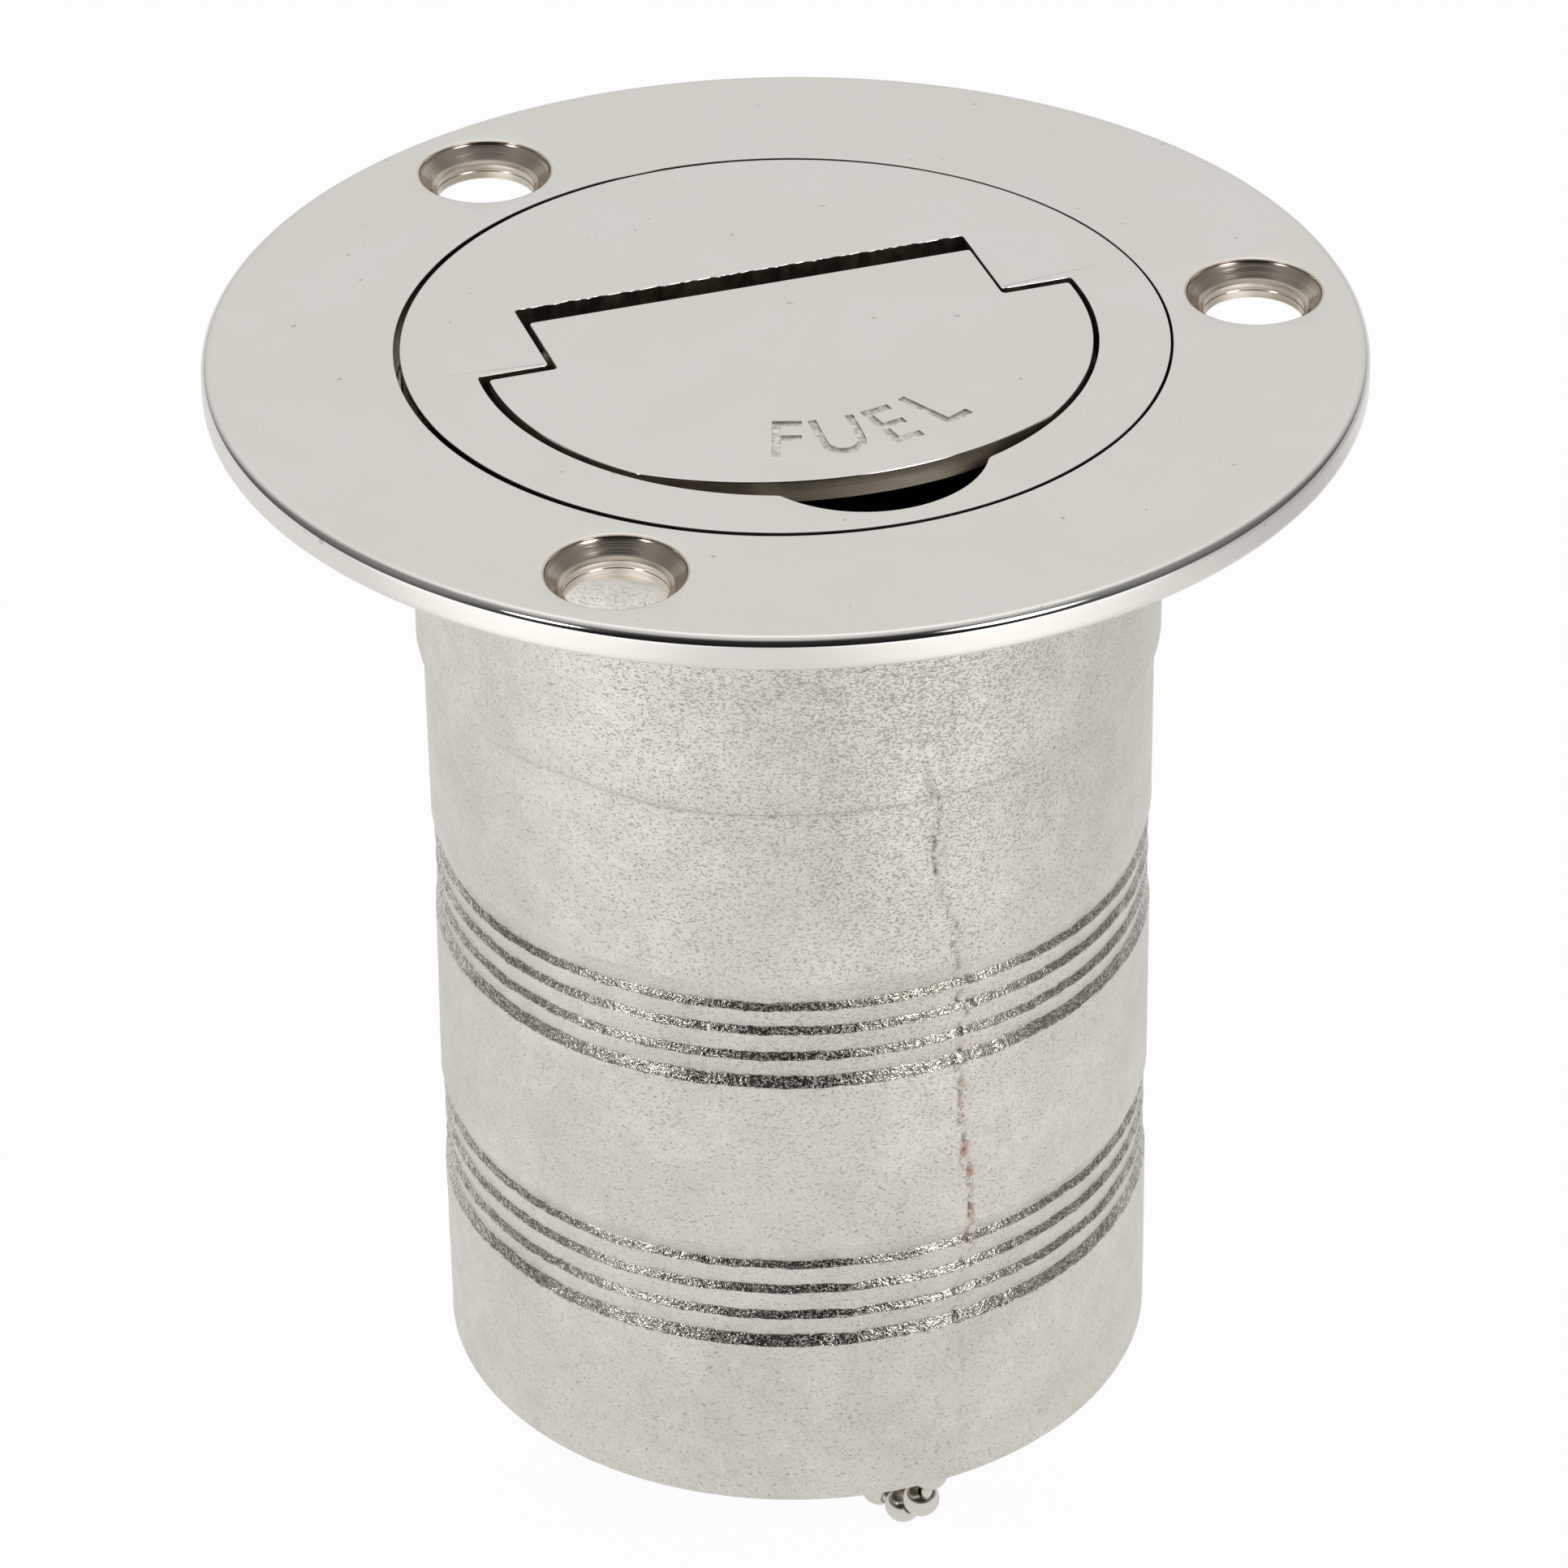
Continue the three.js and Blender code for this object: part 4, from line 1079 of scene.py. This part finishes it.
first = LETTER_MIDDLE - LETTER_STEP * (len(WORD) - 1) / 2
carve(handle, [letter_block(letter, first + LETTER_STEP * i) for i, letter in enumerate(WORD)])


def handle_finish(middle, normal):
    """0 polished top, 1 brushed sides and underside, 2 etched letters."""
    x, y, z = middle.T
    reach = np.hypot(x, y)
    chosen = np.where(z < TOP_Z - HANDLE_EDGE, 1, 0)
    in_word = (reach > 10) & (reach < 19) & (y < 0)
    chosen[in_word & (z > TOP_Z - LETTER_DEPTH - 0.01) & (z < TOP_Z - 0.02)] = 2
    return chosen


finish_piece(handle, "handle", ["lift_handle"], [POLISHED, BRUSHED, ETCHED], handle_finish)

# %% [markdown]
# ## The seal, and the screws that hold the chain
# The O-ring is a plain torus. The two pan head screws, with their washers, are lathe pieces with a driver
# slot.

# %% Seal, washers and screws
SEAL_RING_R, SEAL_CORD_R = 24.3, 0.85
seal_profile = arc((SEAL_RING_R, (HEAD_LOW + SEAL_SEAT_Z) / 2), SEAL_CORD_R, 0, 345, 23)
seal = turned("seal_ring", seal_profile, 160, joined=True)
finish_piece(seal, "cap", ["cap_o_ring"], [RUBBER], sharp_deg=60)

CAP_BOSS_Z = -10.5
GAP, SHEET, EYE_R, EYE_HOLE = 0.3, 0.6, 4.4, 2.3
EYE_START = GAP + SHEET + GAP
HEAD_START = EYE_START + SHEET + GAP
SCREW_R, HEAD_RADIUS, HEAD_H = 2.0, 3.75, 2.0


def slotted_screw(name, shank_end):
    """A screw whose seat is at height 0, with a slotted, domed head below it and the shank above it."""
    low = -HEAD_START - HEAD_H
    dome = arc((0, low + 9.0), 9.0, -90, -71, 6)
    shape = np.vstack([dome, soften([(2.95, low + 0.52), (HEAD_RADIUS, low + 1.1), (HEAD_RADIUS, -HEAD_START),
                                     (SCREW_R, -HEAD_START), (SCREW_R, shank_end), (0, shank_end)], 0.2)])
    screw = turned(name, shape, 64)
    slot = [(-5, -0.45), (5, -0.45), (5, 0.45), (-5, 0.45)]
    bar = np.stack([ring_at(np.array(slot), low - 1), ring_at(np.array(slot), low + 0.85)])
    return carve(screw, [piece_of_rings("slot_bar", bar, lid_below=True, lid_above=True)])


def washer(name):
    """A flat ring; its profile starts and ends on the hole's side, so that all four corners soften."""
    hole = [(EYE_HOLE, -GAP), (EYE_HOLE, -GAP - SHEET)]
    edge = [*hole, (EYE_R, -GAP - SHEET), (EYE_R, -GAP), *hole]
    return turned(name, soften(edge, 0.1)[1:], 72, joined=True)


under_cap = turn_about_z(CHAIN_AZIMUTH) @ Matrix.Translation((0, 0, CAP_BOSS_Z * MM))
on_wall = along_chain(BOSS_FACE, ANCHOR_Z)
for name, node, place, body, shank in (("swivel", "chain_swivel", under_cap, "cap", 4.7),
                                       ("anchor", "anchor", on_wall, "deck_body", 2.6)):
    finish_piece(move(slotted_screw(f"{name}_screw_turned", shank), place), body, [f"{node}_screw"],
                 [STAMPED])
    finish_piece(move(washer(f"{name}_washer_turned"), place), body, [f"{node}_washer"],
                 [STAMPED])

# %% [markdown]
# ## The chain's eyelets
# Each eyelet is stamped from sheet: a ring round the screw with an arm. Seen from the screw, its outline
# too has one radius for each angle. The cap's eyelet is then bent down through a right angle by a formula
# for bending a strip.

# %% Stamp and bend the eyelets
ARM_HALF = 2.0


def eyelet_grid(reach):
    """Rings round the screw hole: the outline is the ring, or the arm's sides and round end where they reach
    further."""
    angle = np.linspace(-np.pi, np.pi, 400, endpoint=False)
    angle = np.sign(angle) * np.pi * (np.abs(angle) / np.pi) ** 2.2
    centre = reach - ARM_HALF
    side = ARM_HALF / np.maximum(np.abs(np.sin(angle)), 1e-9)
    to_end = np.where(side * np.cos(angle) > centre, far_side(angle, centre, 0, ARM_HALF), side)
    outer = np.where(np.cos(angle) > 0, np.maximum(EYE_R, np.maximum(to_end, 0)), EYE_R)
    low, high = -EYE_START - SHEET, -EYE_START
    share = np.array([0, 0.0, 0.05, 0.2, 0.4, 0.6, 0.8, 0.97, 1.0])
    heights = np.concatenate([np.full(9, low), np.full(9, high)])
    heights[[0, 8, 9, 17]] += [0.08, 0.08, -0.08, -0.08]
    shares = np.concatenate([share, share[::-1]])[:, None]
    return rings(EYE_HOLE + (outer[None] - EYE_HOLE) * shares, heights[:, None], angle[None])


def bend_down(points, start, radius):
    """Bends a strip that runs along X: past start, the run becomes an angle on an arc of that radius, up to a
    right angle, and what is left runs straight down."""
    x, y, z = np.moveaxis(points, -1, 0)
    middle = -EYE_START - SHEET / 2
    turn = np.clip((x - start) / radius, 0, np.pi / 2)
    rest = np.maximum(x - start - radius * np.pi / 2, 0)
    across = z - middle
    bent_x = start + (radius + across) * np.sin(turn)
    bent_z = middle - radius + (radius + across) * np.cos(turn) - rest
    past = x > start
    return np.stack([np.where(past, bent_x, x), y, np.where(past, bent_z, z)], axis=-1)


TAB_AT, BEND_R = 5.6, 1.0
TAB_LENGTH = 17.2 + CAP_BOSS_Z - (EYE_START + SHEET / 2) - BEND_R    # down to 17.2 below the deck
WALL_EYE_REACH = 5.7
arm = TAB_AT - BEND_R + BEND_R * math.pi / 2 + TAB_LENGTH
cap_eye = piece_of_rings("cap_eyelet", bend_down(eyelet_grid(arm), TAB_AT - BEND_R, BEND_R), joined=True)
finish_piece(move(cap_eye, under_cap), "chain_swivel", ["cap_chain_eyelet"], [STAMPED],
             sharp_deg=30)
wall_eye = piece_of_rings("wall_eyelet", eyelet_grid(WALL_EYE_REACH), joined=True)
finish_piece(move(wall_eye, on_wall), "deck_body", ["body_chain_eyelet"], [STAMPED],
             sharp_deg=30)

# %% [markdown]
# ## The bead chain
# A bead chain is made of hollow balls and short dumbbell pins that hold them a little apart. It hangs from
# the cap in a long leg, turns below the tail and climbs to the tail's wall. Each ball and pin stores its
# share of the way along the chain, from the cap's end to the wall's end.

# %% The chain's route
BALL_R, BALL_STEP, PIN_BAR_R = 1.35, 3.42, 0.45
ROUTE = [                     # distance from the axis, height
    (5.6, -17.5), (5.6, -23), (5.6, -30), (5.6, -37), (5.6, -44), (5.6, -51), (5.6, -58), (5.6, -65),
    (5.6, -71), (5.6, -76.5), (5.6, -79.5), (5.6, -82.25), (6.12, -84.84), (7.58, -87.02), (9.76, -88.48),
    (11.35, -88.93), (12.2, -89), (12.5, -89), (13.35, -88.93), (14.94, -88.48), (17.12, -87.02),
    (18.58, -84.84), (19.1, -82.25), (19.1, -79.5), (19.1, -77), (19.1, -74.5),
]
route = np.array(ROUTE)
run = np.concatenate([[0], np.cumsum(np.linalg.norm(np.diff(route, axis=0), axis=1))])
chain_length = run[-1]


def on_route(distance):
    """Points at distances along the route, and the route's direction there, in the chain's own plane."""
    behind, place, ahead = (
        np.column_stack([np.interp(distance + step, run, route[:, i]) for i in range(2)])
        for step in (-0.8, 0, 0.8))
    along = ahead - behind
    return place, along / np.linalg.norm(along, axis=1, keepdims=True)


def strung(profile, distances, columns):
    """Copies of a small lathe piece at distances along the route, each with its axis along the route."""
    place, along = on_route(distances)
    across = np.column_stack([-along[:, 1], along[:, 0]])
    angle = np.linspace(0, 2 * np.pi, columns, endpoint=False)
    radius, height = profile[:, :1], profile[:, 1:]
    flat = (place[:, None, None] + along[:, None, None] * height[None, :, :, None]
            + across[:, None, None] * (radius * np.cos(angle))[None, :, :, None])
    sideways = np.broadcast_to(radius * np.sin(angle), flat.shape[:-1])
    return np.stack([flat[..., 0], sideways, flat[..., 1]], axis=-1)


# %% Balls and pins
ball_count = int((chain_length - 2 * BALL_R) / BALL_STEP) + 1
ball_places = np.linspace(BALL_R, chain_length - BALL_R, ball_count)
pin_places = (ball_places[1:] + ball_places[:-1]) / 2
mouth = math.degrees(math.asin(0.62 / BALL_R))
ball_profile = np.vstack([[(0.50, -BALL_R + 0.32)], arc((0, 0), BALL_R, -90 + mouth, 90 - mouth, 14),
                          [(0.50, BALL_R - 0.32)]])
half_pin = BALL_STEP / 2 - 0.55
pin_profile = np.array([(0, -half_pin), (PIN_BAR_R + 0.12, -half_pin + 0.15), (PIN_BAR_R, -half_pin + 0.4),
                        (PIN_BAR_R, half_pin - 0.4), (PIN_BAR_R + 0.12, half_pin - 0.15), (0, half_pin)])
points, quads, shares, used = [], [], [], 0
for profile_of, places, columns in ((ball_profile, ball_places, 22), (pin_profile, pin_places, 12)):
    copies = strung(profile_of, places, columns)
    rows = len(profile_of)
    faces = ring_faces(rows, columns, profile_of is ball_profile)
    starts = used + np.arange(len(places)) * rows * columns
    quads.append((faces[None] + starts[:, None, None]).reshape(-1, 4))
    points.append(copies.reshape(-1, 3))
    shares.append(np.repeat(places / chain_length, rows * columns))
    used += copies.size // 3
chain_points = np.concatenate(points)
chain_mesh = array_mesh("bead_chain", chain_points, np.concatenate(quads))
weight = chain_mesh.attributes.new("share", "FLOAT", "POINT")
weight.data.foreach_set("value", np.concatenate(shares).astype(np.float32))
tidy_mesh(chain_mesh)
chain = bpy.data.objects.new("bead_chain", chain_mesh)
bpy.context.scene.collection.objects.link(chain)
move(chain, turn_about_z(CHAIN_AZIMUTH))
finish_piece(chain, None, ["chain_cap_side", "chain_body_side"], [CHROMED], sharp_deg=50)


# %% The chain's line, and each point's share along it
def in_frame(place):
    """Points of the chain's plane in the row frame, in metres."""
    return rings(place[:, 0], place[:, 1], math.radians(CHAIN_AZIMUTH)) * MM


chain_line = in_frame(on_route(np.linspace(0, chain_length, 80))[0])
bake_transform(chain)
own_share = np.empty(len(chain.data.vertices), np.float32)
chain.data.attributes["share"].data.foreach_get("value", own_share)
print("chain:", ball_count, "balls,", round(chain_length, 1), "mm")
